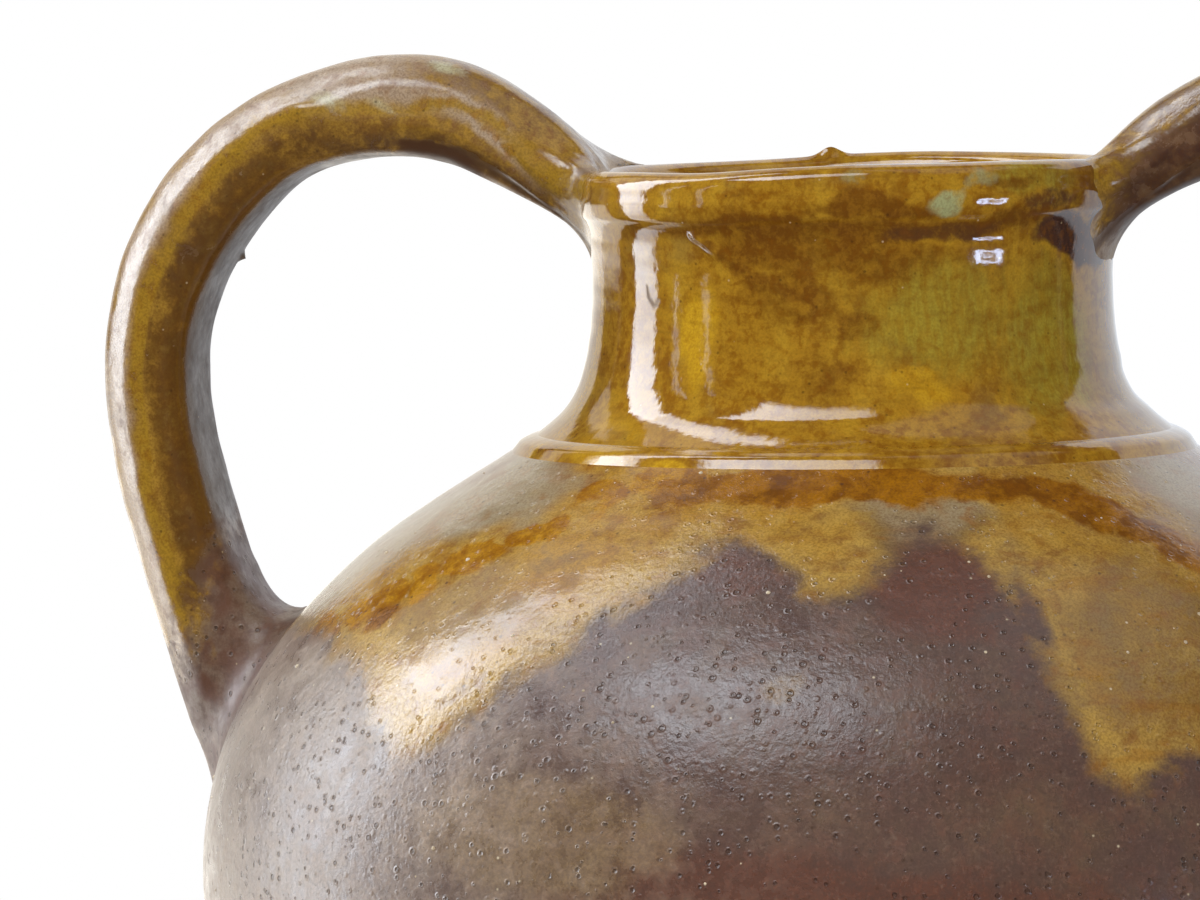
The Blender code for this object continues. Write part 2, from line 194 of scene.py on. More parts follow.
def noise(points, size, seed):
    """Smooth values from -1 to 1 whose bumps are about one size across."""
    scaled = np.asarray(points) / size + 1000.0
    cell = np.floor(scaled)
    part = scaled - cell
    part = part**3 * (part * (part * 6 - 15) + 10)
    x, y, z = (cell[..., i].astype(np.int64).astype(np.uint32) for i in range(3))
    total = 0.0
    for corner in range(8):
        step = [np.uint32(corner >> i & 1) for i in range(3)]
        weight = 1.0
        for i in range(3):
            weight = weight * (part[..., i] if step[i] else 1 - part[..., i])
        total = total + weight * lattice_value(x + step[0], y + step[1], z + step[2], seed)
    return total


def ragged(points, size, seed, octaves=3):
    """Noise with finer and finer detail, from about -1 to 1."""
    total = sum(noise(points, size / 2**i, seed + i) / 2**i for i in range(octaves))
    return total / (2 - 2.0 ** (1 - octaves))


def soft_step(value, low, high):
    t = np.clip((value - low) / (high - low), 0, 1)
    return t * t * (3 - 2 * t)


def bell(value, middle, width):
    """1 at the middle, fading out over a width."""
    return np.exp(-(((value - middle) / width) ** 2))


def radius_of(points):
    return np.hypot(points[..., 0], points[..., 1])


def towards(points, way):
    """How far points lie along a level direction."""
    return points[..., 0] * way.x + points[..., 1] * way.y


def bearing_of(points):
    return np.degrees(np.arctan2(towards(points, TO_RIGHT), towards(points, TO_EYE)))


def place(bearing, radius, height):
    """The point at a bearing in degrees."""
    turn = np.radians(bearing)
    front = np.cos(turn) * radius
    right = np.sin(turn) * radius
    x = front * TO_EYE.x + right * TO_RIGHT.x
    y = front * TO_EYE.y + right * TO_RIGHT.y
    return np.stack([x, y, np.broadcast_to(height, np.shape(x))], axis=-1)


def blot(points, bearing, height, half_width, half_height):
    """A soft spot: 1 in its middle and 0 outside. Bearings in degrees, heights in millimetres."""
    turn = (bearing_of(points) - bearing + 180) % 360 - 180
    reach = np.hypot(turn / half_width, (points[..., 2] * 1000 - height) / half_height)
    return soft_step(-reach, -1.25, -0.45)


def blots(points, spots):
    total = np.zeros(points.shape[:-1])
    for bearing, height, half_width, half_height, strength in spots:
        total = np.maximum(total, strength * blot(points, bearing, height, half_width, half_height))
    return total


print("bearing of the right-hand side", bearing_of(place(90, 0.1, 0.2)))

# %% [markdown]
# ## Where the glaze runs
# The glaze ends in a wavy edge on the shoulder, with long drips. The edge is a height for each
# bearing: the front follows the photograph, the back is made up in the same manner.
# The signed distance to this edge drives both the relief and the colour.

# %% The edge of the glaze
GLAZE_EDGE = [  # bearing in degrees and height in millimetres
    (-74, 214), (-66, 213), (-54, 209), (-50, 202), (-45.6, 195), (-42, 192), (-39.6, 198), (-36.5, 203),
    (-33, 211), (-29, 218.5), (-27, 222), (-21.5, 227.5), (-16.5, 231), (-8, 227), (-4, 226), (0, 227),
    (2.2, 231), (4, 236), (9, 238.5), (14, 236), (16.5, 229), (17.2, 222), (18.6, 212), (19.5, 202),
    (21, 194), (23.5, 191), (27, 193), (31, 195), (41, 188), (50, 192), (57, 206), (68, 212),
    (80, 203), (88, 190), (95, 193), (104, 210), (118, 217), (131, 205), (139, 187), (146, 184), (154, 203),
    (168, 215), (184, 211), (195, 196), (203, 190), (211, 205), (224, 217), (237, 211), (249, 194),
    (256, 189), (265, 203), (277, 214),
]


def edge_height(bearing):
    """Height of the glaze's edge, smoothed, for any bearing."""
    turn = np.array([b for b, _ in GLAZE_EDGE], float)
    rise = np.array([h for _, h in GLAZE_EDGE], float)
    turn = np.r_[turn[-3:] - 360, turn, turn[:3] + 360]
    rise = np.r_[rise[-3:], rise, rise[:3]]
    where = (np.asarray(bearing) + 90) % 360 - 90
    return sum(np.interp(where + d, turn, rise) for d in (-1.6, -0.8, 0, 0.8, 1.6)) / 5


def glaze_run(points):
    """Millimetres inside the glaze's edge; negative on the bare skin."""
    bearing = bearing_of(points)
    height = points[..., 2] * 1000
    radius = radius_of(points) * 1000
    one_degree = np.maximum(np.radians(1) * radius, 0.1)
    slope = (edge_height(bearing + 0.5) - edge_height(bearing - 0.5)) / one_degree
    runs = points * np.array((1.0, 1.0, 0.35))
    wander = 2.0 * ragged(points, 0.018, 11) + 2.0 * ragged(runs, 0.008, 13) + 1.2 * ragged(points, 0.005, 12)
    return (height - edge_height(bearing)) / np.sqrt(1 + slope**2) + wander


print("glaze edge at the front", edge_height(0), "mm up")

# %% [markdown]
# ## Relief of the wall
# Thrown walls carry a slow wobble and fine rings from the fingers. The glaze stands a seventh of
# a millimetre proud along a soft edge, and the bare skin has an orange-peel surface.

# %% Relief
WOBBLE, RING_DEPTH, RING_PITCH = 0.0004, 0.00003, 0.0052
GLAZE_DEPTH, PEEL_DEPTH = 0.00014, 0.00004
FOLD_HEIGHT, FOLD_WIDTH, FOLD_SWAY = 0.0013, 0.0011, 0.0012
NUB_HEIGHT, NUB_WIDTH = 0.0019, 0.0027
RIM_DIP, RIM_WAVE = 0.0019, 0.0003
ROUGH_SPOTS = [(-12, 205, 20, 18, 1.0), (150, 190, 60, 40, 0.8)]
FOLD_START, FOLD_END = place(-37, 0.0567, 0.2990), place(-10, 0.0558, 0.2802)
RIM_NUB = place(-175, 0.0545, 0.3108)  # a crumb of clay on the far side of the rim


def fold_mark(points):
    """The crooked fold in the glaze on the neck."""
    span = FOLD_END - FOLD_START
    share = np.clip(((points - FOLD_START) @ span) / (span @ span), 0, 1)
    nearest = FOLD_START + share[..., None] * span
    nearest = nearest + np.stack([0 * share, 0 * share, FOLD_SWAY * np.sin(share * 19) * share], axis=-1)
    distance = np.linalg.norm(points - nearest, axis=-1)
    return bell(distance, 0.0, FOLD_WIDTH) * soft_step(share, 0.0, 0.1) * (1 - 0.6 * share)


def relief(points):
    """How far the finished surface stands off the plain turned wall, in metres."""
    height = points[..., 2]
    radius = radius_of(points)
    run = glaze_run(points)
    low = soft_step(-height, -BELLY_HEIGHT - 0.09, -BELLY_HEIGHT - 0.03)
    slow = WOBBLE * (0.7 * noise(points, 0.085, 1) + 0.4 * noise(points, 0.04, 2))
    slow = slow * soft_step(height, 0.0, 0.02)
    rings = RING_DEPTH * np.sin(height * 2 * math.pi / RING_PITCH + 3 * noise(points, 0.05, 3))
    rings = rings * (0.6 + 0.4 * noise(points, 0.03, 4)) * (1 - 0.5 * low)
    cover = GLAZE_DEPTH * soft_step(run, -2.5, 2.5)
    bare = 1 - soft_step(run, -1.5, 1.0)
    rough = 0.55 + 0.5 * blots(points, ROUGH_SPOTS)
    peel = PEEL_DEPTH * bare * rough * (noise(points, 0.0042, 5) + 0.6 * noise(points, 0.0024, 6))
    fold = FOLD_HEIGHT * fold_mark(points) * (radius < 0.075)
    lean = 0.0005 * np.sin(np.radians(bearing_of(points))) * bell(height, 0.2550, 0.0090)
    lean = lean + 0.0004 * bell(height, 0.2540, 0.0050) + 0.0002 * blot(points, -82, 236, 40, 14)
    lean = lean - 0.0005 * blot(points, 75, 263, 50, 5) - 0.0005 * blot(points, -82, 160, 45, 26)
    slump = 0.00004 * noise(points, 0.013, 9) + 0.000015 * noise(points, 0.006, 10)
    slump = slump * soft_step(run, 0.0, 8.0)
    nub = NUB_HEIGHT * bell(np.linalg.norm(points - RIM_NUB, axis=-1), 0.0, NUB_WIDTH)
    return slow + rings + cover + peel + fold + lean + slump + nub


def rim_warp(points):
    """The rim is not level: it dips towards the left handle."""
    right = towards(points, TO_RIGHT)
    lift = soft_step(points[..., 2], 0.285, 0.309)
    return -RIM_DIP * lift * soft_step(-right, -0.020, 0.042) + RIM_WAVE * lift * noise(points, 0.03, 8)


print("relief at the front of the belly", relief(place(0, BELLY_RADIUS, BELLY_HEIGHT)), "m")

# %% [markdown]
# ## Turning the wall
# The wheel is a Geometry Nodes tree: it takes a closed section as a curve, lays a grid that has one
# row for each of the section's points, and wraps the grid once round the axis. Each piece of the
# wall is turned by itself, and pieces that meet share their last row, so no seam shows.
# The Tree class only keeps the writing short: a value is fed to a socket, be it a constant or a link.

# %% Words for node trees
class Tree:
    """A node tree, with short words for what is added to it most."""

    def __init__(self, raw):
        self.raw = raw
        self.keys = {}

    def feed(self, value, socket):
        """Links a value that comes from a node, or sets a constant."""
        if isinstance(value, bpy.types.NodeSocket):
            self.raw.links.new(value, socket)
        elif socket.type == "RGBA":
            socket.default_value = (*value, 1.0)
        else:
            socket.default_value = value

    def node(self, kind, inputs=None, **settings):
        """Adds a node, sets its properties and feeds its inputs."""
        made = self.raw.nodes.new(kind)
        for key, value in settings.items():
            setattr(made, key, value)
        for key, value in (inputs or {}).items():
            self.feed(value, made.inputs[key])
        return made

    def maths(self, operation, *values):
        made = self.raw.nodes.new("ShaderNodeMath")
        made.operation = operation
        for value, socket in zip(values, made.inputs):
            self.feed(value, socket)
        return made.outputs[0]

    def plus(self, first, second):
        return self.maths("ADD", first, second)

    def minus(self, first, second):
        return self.maths("SUBTRACT", first, second)

    def over(self, first, second):
        return self.maths("DIVIDE", first, second)

    def times(self, first, *others):
        for other in others:
            first = self.maths("MULTIPLY", first, other)
        return first

    def times_plus(self, first, second, added):
        return self.maths("MULTIPLY_ADD", first, second, added)


def new_tree(name, sockets):
    """An empty Geometry Nodes tree with named inputs."""
    raw = bpy.data.node_groups.new(name, "GeometryNodeTree")
    raw.interface.new_socket("Geometry", in_out="OUTPUT", socket_type="NodeSocketGeometry")
    raw.interface.new_socket("Geometry", in_out="INPUT", socket_type="NodeSocketGeometry")
    tree = Tree(raw)
    for label, kind in sockets.items():
        socket = raw.interface.new_socket(label, in_out="INPUT", socket_type="NodeSocket" + kind)
        tree.keys[label] = socket.identifier
    return tree, raw.nodes.new("NodeGroupInput").outputs


def close_tree(tree, geometry, material):
    """Every tree ends in Realize Instances and Set Material."""
    real = tree.node("GeometryNodeRealizeInstances", {"Geometry": geometry})
    skin = tree.node("GeometryNodeSetMaterial", {"Geometry": real.outputs[0], "Material": material})
    tree.feed(skin.outputs[0], tree.node("NodeGroupOutput").inputs[0])
    return tree


print("words for trees:", [word for word in vars(Tree) if not word.startswith("_")])

# %% [markdown]
# The grid's index gives each vertex its row in the section and its step round the axis. The last step
# falls on the first one, and Merge by Distance closes the ring.

# %% The wheel, as a node tree
TURNS = 600


def wheel_tree():
    tree, given = new_tree("potters_wheel", {"Turns": "Int", "Material": "Material"})
    section = given["Geometry"]
    counted = tree.node("GeometryNodeAttributeDomainSize", {"Geometry": section}, component="CURVE")
    rows = counted.outputs["Point Count"]
    stride = tree.plus(rows, 1.0)
    size = {"Vertices X": tree.plus(given["Turns"], 1.0), "Vertices Y": stride}
    grid = tree.node("GeometryNodeMeshGrid", size).outputs["Mesh"]
    index = tree.node("GeometryNodeInputIndex").outputs[0]
    row = tree.maths("MODULO", tree.maths("MODULO", index, stride), rows)
    step = tree.maths("FLOOR", tree.over(tree.plus(index, 0.5), stride))
    spot = tree.node("GeometryNodeInputPosition").outputs[0]
    sample = tree.node(
        "GeometryNodeSampleIndex",
        {"Geometry": section, "Value": spot, "Index": row},
        data_type="FLOAT_VECTOR",
        domain="POINT",
    )
    out = tree.node("ShaderNodeSeparateXYZ", {0: sample.outputs[0]}).outputs
    turn = tree.times(tree.over(step, given["Turns"]), 2 * math.pi)
    x = tree.times(out["X"], tree.maths("COSINE", turn))
    y = tree.times(out["X"], tree.maths("SINE", turn))
    wrapped = tree.node("ShaderNodeCombineXYZ", {"X": x, "Y": y, "Z": out["Z"]}).outputs[0]
    named = {"Geometry": grid, "Name": "row", "Value": row}
    marked = tree.node("GeometryNodeStoreNamedAttribute", named, data_type="FLOAT", domain="POINT")
    moved = tree.node("GeometryNodeSetPosition", {"Geometry": marked.outputs[0], "Position": wrapped})
    merged = tree.node("GeometryNodeMergeByDistance", {"Geometry": moved.outputs[0], "Distance": 1e-6})
    smooth = tree.node("GeometryNodeSetShadeSmooth", {"Geometry": merged.outputs[0]})
    return close_tree(tree, smooth.outputs[0], given["Material"])


WHEEL = wheel_tree()
print("wheel tree has", len(WHEEL.raw.nodes), "nodes")

# %% [markdown]
# A tree is run on a carrier, and its result is kept as a plain mesh object. The other words here read a
# mesh into numpy arrays and paint values on it.

# %% Meshes
def link(obj):
    bpy.context.scene.collection.objects.link(obj)
    return obj


def grown(source, name, tree, values):
    """Runs a node tree on an object and returns the result as a plain mesh object."""
    carrier = link(source)
    modifier = carrier.modifiers.new("nodes", "NODES")
    modifier.node_group = tree.raw
    for label, value in values.items():
        modifier[tree.keys[label]] = value
    bpy.context.view_layer.update()
    evaluated = carrier.evaluated_get(bpy.context.evaluated_depsgraph_get())
    mesh = bpy.data.meshes.new_from_object(evaluated)
    mesh.name = name
    finish = next(m for m in mesh.materials if m)
    mesh.materials.clear()
    mesh.materials.append(finish)
    mesh.polygons.foreach_set("material_index", np.zeros(len(mesh.polygons), np.int32))
    carrier.modifiers.remove(modifier)
    bpy.data.objects.remove(carrier)
    return link(bpy.data.objects.new(name, mesh))


def section_object(name, points):
    """A closed section, as a curve in the XZ plane."""
    curve = bpy.data.curves.new(name, "CURVE")
    curve.dimensions = "3D"
    spline = curve.splines.new("POLY")
    spline.points.add(len(points) - 1)
    spline.use_cyclic_u = True
    flat = np.zeros((len(points), 4))
    flat[:, 0], flat[:, 2], flat[:, 3] = points[:, 0], points[:, 1], 1
    spline.points.foreach_set("co", flat.ravel())
    return bpy.data.objects.new(name, curve)


def coordinates(mesh):
    co = np.empty(len(mesh.vertices) * 3, np.float64)
    mesh.vertices.foreach_get("co", co)
    return co.reshape(-1, 3)


def put_values(mesh, name, values):
    layer = mesh.attributes.get(name) or mesh.attributes.new(name, "FLOAT", "POINT")
    layer.data.foreach_set("value", np.asarray(values, np.float32))


def signed_volume(mesh):
    mesh.calc_loop_triangles()
    corners = np.empty(len(mesh.loop_triangles) * 3, np.int32)
    mesh.loop_triangles.foreach_get("vertices", corners)
    a, b, c = (coordinates(mesh)[corners.reshape(-1, 3)[:, i]] for i in range(3))
    return float(np.einsum("ij,ij->i", a, np.cross(b, c)).sum() / 6)


print("words for meshes:", [word.__name__ for word in (grown, section_object, coordinates, put_values)])


# %% [markdown]
# ## Finishes: shared shader groups
# Three effects come back on many surfaces, so each is a node group: cloudy mottling with fine grain,
# small pits, and dust-fine specks. Groups only put out masks and heights; the shader itself stays in
# each material, where colours are laid over each other in coats.

# %% Words for shaders
class ShaderTree(Tree):
    """A shader's node tree, with words for soft steps, clouds, coats of colour and painted values."""

    def soften(self, value, low, high, to_low=0.0, to_high=1.0):
        """A smooth step from one value to another."""
        steps = {0: value, "From Min": low, "From Max": high, "To Min": to_low, "To Max": to_high}
        return self.node("ShaderNodeMapRange", steps, interpolation_type="SMOOTHSTEP").outputs[0]

    def cloud(self, vector, scale, detail=4.0, rough=0.55, offset=0.0, bent=0.0):
        made = {"Vector": vector, "Scale": scale, "Detail": detail, "Roughness": rough}
        made.update({"W": offset, "Distortion": bent})
        return self.node("ShaderNodeTexNoise", made, noise_dimensions="4D").outputs[0]

    def tint(self, share, first, second):
        """Mixes two colours by a share."""
        sides = {0: share, 6: first, 7: second}
        return self.node("ShaderNodeMix", sides, data_type="RGBA", clamp_factor=True).outputs[2]

    def coats(self, colour, *layers):
        """Lays colours over a first one, each by its own share."""
        for share, coat in layers:
            colour = self.tint(share, colour, coat)
        return colour

    def use(self, group, where, **inputs):
        """Places a shader group and returns what it puts out."""
        return self.node("ShaderNodeGroup", {"Vector": where, **inputs}, node_tree=group).outputs

    def mark(self, name):
        """A painted value of the mesh."""
        return self.node("ShaderNodeAttribute", attribute_name=name).outputs["Fac"]

    def broken(self, name, clouds, low, high, weight=0.45):
        """A painted value with the natural edge that it gets from clouds."""
        return self.soften(self.times_plus(self.mark(name), weight, clouds), low, high)


print("words for shaders:", [word for word in vars(ShaderTree) if not word.startswith("_")])

# %% [markdown]
# The mottling is one noise at three stretches and a fine grain. Pits and specks are Voronoi cells, of
# which only a share is chosen by the colour that each cell draws.

# %% Shader groups
GRAIN_SCALE = 1900.0
LEAD_GLAZE_IOR = 1.65


def shader_group(name, numbers, masks):
    """An empty group that takes a vector and some numbers, and puts out masks."""
    raw = bpy.data.node_groups.new(name, "ShaderNodeTree")
    raw.interface.new_socket("Vector", in_out="INPUT", socket_type="NodeSocketVector")
    for label, value in numbers.items():
        socket = raw.interface.new_socket(label, in_out="INPUT", socket_type="NodeSocketFloat")
        socket.default_value = value
    for label in masks:
        raw.interface.new_socket(label, in_out="OUTPUT", socket_type="NodeSocketFloat")
    return ShaderTree(raw), raw.nodes.new("NodeGroupInput").outputs, raw.nodes.new("NodeGroupOutput").inputs


def cells_of(tree, given):
    """Scattered cells: the distance to the middle of each, and two numbers drawn for it."""
    cells = tree.node("ShaderNodeTexVoronoi", {"Vector": given["Vector"], "Scale": given["Scale"]}).outputs
    luck = tree.node("ShaderNodeSeparateColor", {0: cells["Color"]}).outputs
    return cells["Distance"], luck[0], luck[1]


def mottle_group():
    masks = ("Cloud", "Streak", "Lines", "Grain")
    tree, given, out = shader_group("mottle", {"Scale": 60.0, "Seed": 0.0}, masks)
    where, seed = given["Vector"], given["Seed"]
    tree.feed(tree.cloud(where, given["Scale"], 7.0, 0.64, seed, 0.35), out["Cloud"])
    for label, tall, size in (("Streak", 0.22, 2.2), ("Lines", 6.0, 0.6)):
        stretched = tree.node("ShaderNodeMapping", {"Vector": where, "Scale": (1.0, 1.0, tall)}).outputs[0]
        tree.feed(tree.cloud(stretched, tree.times(given["Scale"], size), 4.0, 0.58, seed), out[label])
    tree.feed(tree.cloud(where, GRAIN_SCALE, 2.0, 0.6, seed), out["Grain"])
    return tree.raw


def pit_group():
    tree, given, out = shader_group("pits", {"Scale": 300.0, "Share": 0.2}, ("Pit", "Height"))
    distance, luck, other_luck = cells_of(tree, given)
    chosen = tree.maths("LESS_THAN", luck, given["Share"])
    reach = tree.over(distance, tree.soften(other_luck, 0.0, 1.0, 0.16, 0.34))
    pit = tree.times(tree.soften(reach, 0.55, 1.0, 1.0, 0.0), chosen)
    lip = tree.times(tree.soften(reach, 1.0, 1.7, 1.0, 0.0), chosen, 0.45)
    tree.feed(pit, out["Pit"])
    tree.feed(tree.minus(lip, tree.times(pit, 1.45)), out["Height"])
    return tree.raw


def speck_group():
    tree, given, out = shader_group("specks", {"Scale": 700.0, "Share": 0.1}, ("Dark", "Light"))
    distance, luck, _ = cells_of(tree, given)
    dark, light = tree.soften(distance, 0.12, 0.34, 1.0, 0.0), tree.soften(distance, 0.06, 0.26, 1.0, 0.0)
    tree.feed(tree.times(dark, tree.maths("LESS_THAN", luck, given["Share"])), out["Dark"])
    tree.feed(tree.times(light, tree.maths("GREATER_THAN", luck, 0.988)), out["Light"])
    return tree.raw


def new_finish(name):
    material = bpy.data.materials.new(name)
    material.use_nodes = True
    tree = ShaderTree(material.node_tree)
    shader = material.node_tree.nodes["Principled BSDF"]
    shader.inputs["IOR"].default_value = LEAD_GLAZE_IOR
    return material, tree, shader, tree.node("ShaderNodeTexCoord").outputs["Object"]


def finish_with(tree, shader, colour, roughness, height, bump_depth):
    tree.feed(colour, shader.inputs["Base Color"])
    tree.feed(roughness, shader.inputs["Roughness"])
    bump = tree.node("ShaderNodeBump", {"Height": height, "Strength": 1.0, "Distance": bump_depth})
    tree.feed(bump.outputs[0], shader.inputs["Normal"])


MOTTLE, PITS, SPECKS = mottle_group(), pit_group(), speck_group()
print("shader groups", MOTTLE.name, PITS.name, SPECKS.name)

# %% [markdown]
# ## The body's finish
# Two surfaces meet on the body. The bare skin is a satin purple-brown with burst blisters, redder in
# places; the glaze over it is a glossy ochre that turns amber where it lies thick.

# %% Body finish
SKIN_BROWN, SKIN_PURPLE = (0.115, 0.066, 0.046), (0.096, 0.057, 0.052)
SKIN_RED, SKIN_OLIVE = (0.118, 0.040, 0.022), (0.205, 0.126, 0.052)
SKIN_SAND, SKIN_SOOT = (0.135, 0.088, 0.040), (0.060, 0.036, 0.032)
GRIT_PALE, GRIT_DARK = (0.210, 0.150, 0.115), (0.062, 0.040, 0.032)
# the second colour on the next line is a painted sheen: the pale beige that rough skin shows where it catches
# the light
GRAIN_DARK, PAINTED_SHEEN_BEIGE = (0.055, 0.032, 0.026), (0.365, 0.288, 0.215)
OCHRE, HONEY, TAN = (0.370, 0.225, 0.048), (0.330, 0.165, 0.012), (0.175, 0.088, 0.016)
AMBER, UMBER, DRAB = (0.220, 0.076, 0.003), (0.085, 0.030, 0.006), (0.158, 0.096, 0.031)
# painted reflection: a pale grey-beige that stands in for the bright room mirrored in the glaze
PAINTED_REFLECTION_BEIGE = (0.275, 0.215, 0.130)
THICK_AMBER, THICK_BROWN = (0.270, 0.108, 0.004), (0.100, 0.032, 0.003)
STRIPE_GOLD, STRIPE_RUST = (0.380, 0.185, 0.009), (0.230, 0.090, 0.004)
PIT_DARK, CRATER_DARK = (0.040, 0.022, 0.016), (0.040, 0.025, 0.018)
SPECK_DARK, SPECK_LIGHT = (0.040, 0.020, 0.012), (0.55, 0.47, 0.33)
BODY_BUMP = 0.00026


def body_finish():
    material, tree, shader, where = new_finish("ochre_runs_on_brown_skin")
    soften, broken, times, mark = tree.soften, tree.broken, tree.times, tree.mark
    broad = tree.use(MOTTLE, where, Scale=34.0, Seed=1.0)
    patchy = tree.use(MOTTLE, where, Scale=85.0, Seed=11.0)
    fine = tree.use(MOTTLE, where, Scale=230.0, Seed=5.0)
    pits = tree.use(PITS, where, Scale=520.0, Share=0.35)
    specks = tree.use(SPECKS, where, Scale=620.0, Share=0.05)
    grit = tree.cloud(where, 900.0, 4.0, 0.7, 9.0)

    def shifted(value, amount, onto):
        return tree.times_plus(tree.minus(value, 0.5), amount, onto)

    ramp = {0: mark("run"), "From Min": -20.0, "From Max": 11.0, "To Min": -2.0, "To Max": 1.1}
    run = tree.node("ShaderNodeMapRange", ramp).outputs[0]
    torn = times(tree.plus(patchy["Cloud"], fine["Cloud"]), 0.5)
    cover = shifted(fine["Cloud"], 1.0, shifted(patchy["Cloud"], 1.0, run))
    cover = tree.times_plus(mark("purple"), -0.9, cover)
    glazed = soften(cover, -0.32, 0.38)
    bare = tree.minus(1.0, glazed)
    skin = tree.coats(
        SKIN_BROWN,
        (soften(broad["Cloud"], 0.30, 0.72), SKIN_PURPLE),
        (soften(patchy["Cloud"], 0.38, 0.80, 0.0, 0.6), SKIN_SAND),
        (broken("red", torn, 0.50, 0.90), SKIN_RED),
        (broken("olive", torn, 0.55, 0.95), SKIN_OLIVE),
        (soften(fine["Cloud"], 0.36, 0.76, 0.0, 0.6), SKIN_RED),
        (soften(torn, 0.26, 0.64, 0.55, 0.0), SKIN_SOOT),
        (soften(grit, 0.52, 0.72, 0.0, 0.35), GRIT_PALE),
        (soften(fine["Grain"], 0.35, 0.65, 0.5, 0.0), GRAIN_DARK),
        # painted sheen on the rough skin where the matte spots lie
        (times(broken("matte", torn, 0.58, 1.32, 0.85), 0.72), PAINTED_SHEEN_BEIGE),
        (soften(grit, 0.34, 0.58, 0.40, 0.0), GRIT_DARK),
    )
    thick = tree.tint(soften(torn, 0.42, 0.60), THICK_AMBER, THICK_BROWN)
    stripe = tree.tint(soften(fine["Cloud"], 0.38, 0.64), STRIPE_GOLD, STRIPE_RUST)
    glaze = tree.coats(
        OCHRE,
        (soften(shifted(broad["Cloud"], 2.6, cover), 0.5, 1.5), HONEY),
        (soften(torn, 0.50, 0.62, 0.0, 0.55), TAN),
        (broken("umber", torn, 0.40, 1.05), DRAB),
        # painted reflection of the room on the shoulder glaze
        (broken("veil", torn, 0.45, 1.05, 0.6), PAINTED_REFLECTION_BEIGE),
        (broken("amber", torn, 0.60, 0.88, 0.6), thick),
        (broken("yellow", torn, 0.62, 0.80, 0.5), stripe),
        (soften(patchy["Lines"], 0.50, 0.68, 0.0, 0.4), AMBER),
        (soften(fine["Cloud"], 0.48, 0.70, 0.0, 0.5), AMBER),
        (soften(fine["Grain"], 0.34, 0.62, 0.4, 0.0), UMBER),
    )
    colour = tree.coats(
        skin,
        (glazed, glaze),
        (times(pits["Pit"], 0.55, bare), PIT_DARK),
        (times(specks["Dark"], 0.6), SPECK_DARK),
        (times(specks["Light"], 0.7), SPECK_LIGHT),
        (times(mark("pit"), 0.8), CRATER_DARK),
    )
    rough = tree.times_plus(bare, soften(torn, 0.36, 0.66, 0.05, 0.27), 0.07)
    rough = tree.times_plus(soften(fine["Cloud"], 0.3, 0.7), 0.04, rough)
    rough = tree.times_plus(times(mark("matte"), bare), 0.22, rough)
    thin = soften(cover, 0.2, 1.3, 1.0, 0.12)
    peel = tree.times_plus(tree.cloud(where, 420.0, 4.0, 0.62, 14.0), 0.75, times(grit, 0.40))
    height = tree.times_plus(times(pits["Height"], thin), 0.8, times(peel, thin))
    finish_with(tree, shader, colour, rough, height, BODY_BUMP)
    return material


BODY = body_finish()
print("finish", BODY.name)

# %% [markdown]
# ## The collar's finish
# Neck, cordon and rim lie under the thickest glaze. It is clear and glossy: amber-brown in blotches,
# olive to the right, and umber under the rim, partly glaze that gathers there and partly painted shade.

# %% Collar finish
RESIN, RESIN_BROWN, RESIN_GOLD = (0.320, 0.165, 0.012), (0.225, 0.100, 0.007), (0.400, 0.230, 0.018)
OLIVE, MOSS, YELLOW = (0.262, 0.172, 0.016), (0.290, 0.222, 0.026), (0.490, 0.280, 0.014)
RUST_AND_SHADE, DARK_RUST_AND_SHADE, LINE_BROWN = (0.165, 0.064, 0.006), (0.085, 0.029, 0.004), (0.130, 0.050, 0.005)
AUBERGINE, CELADON, FLAW = (0.050, 0.022, 0.016), (0.300, 0.310, 0.150), (0.030, 0.014, 0.005)
SUNK_DARK, SUNK_LIGHT = (0.035, 0.016, 0.006), (0.50, 0.40, 0.24)  # specks under clear glaze
COLLAR_BUMP = 0.00005


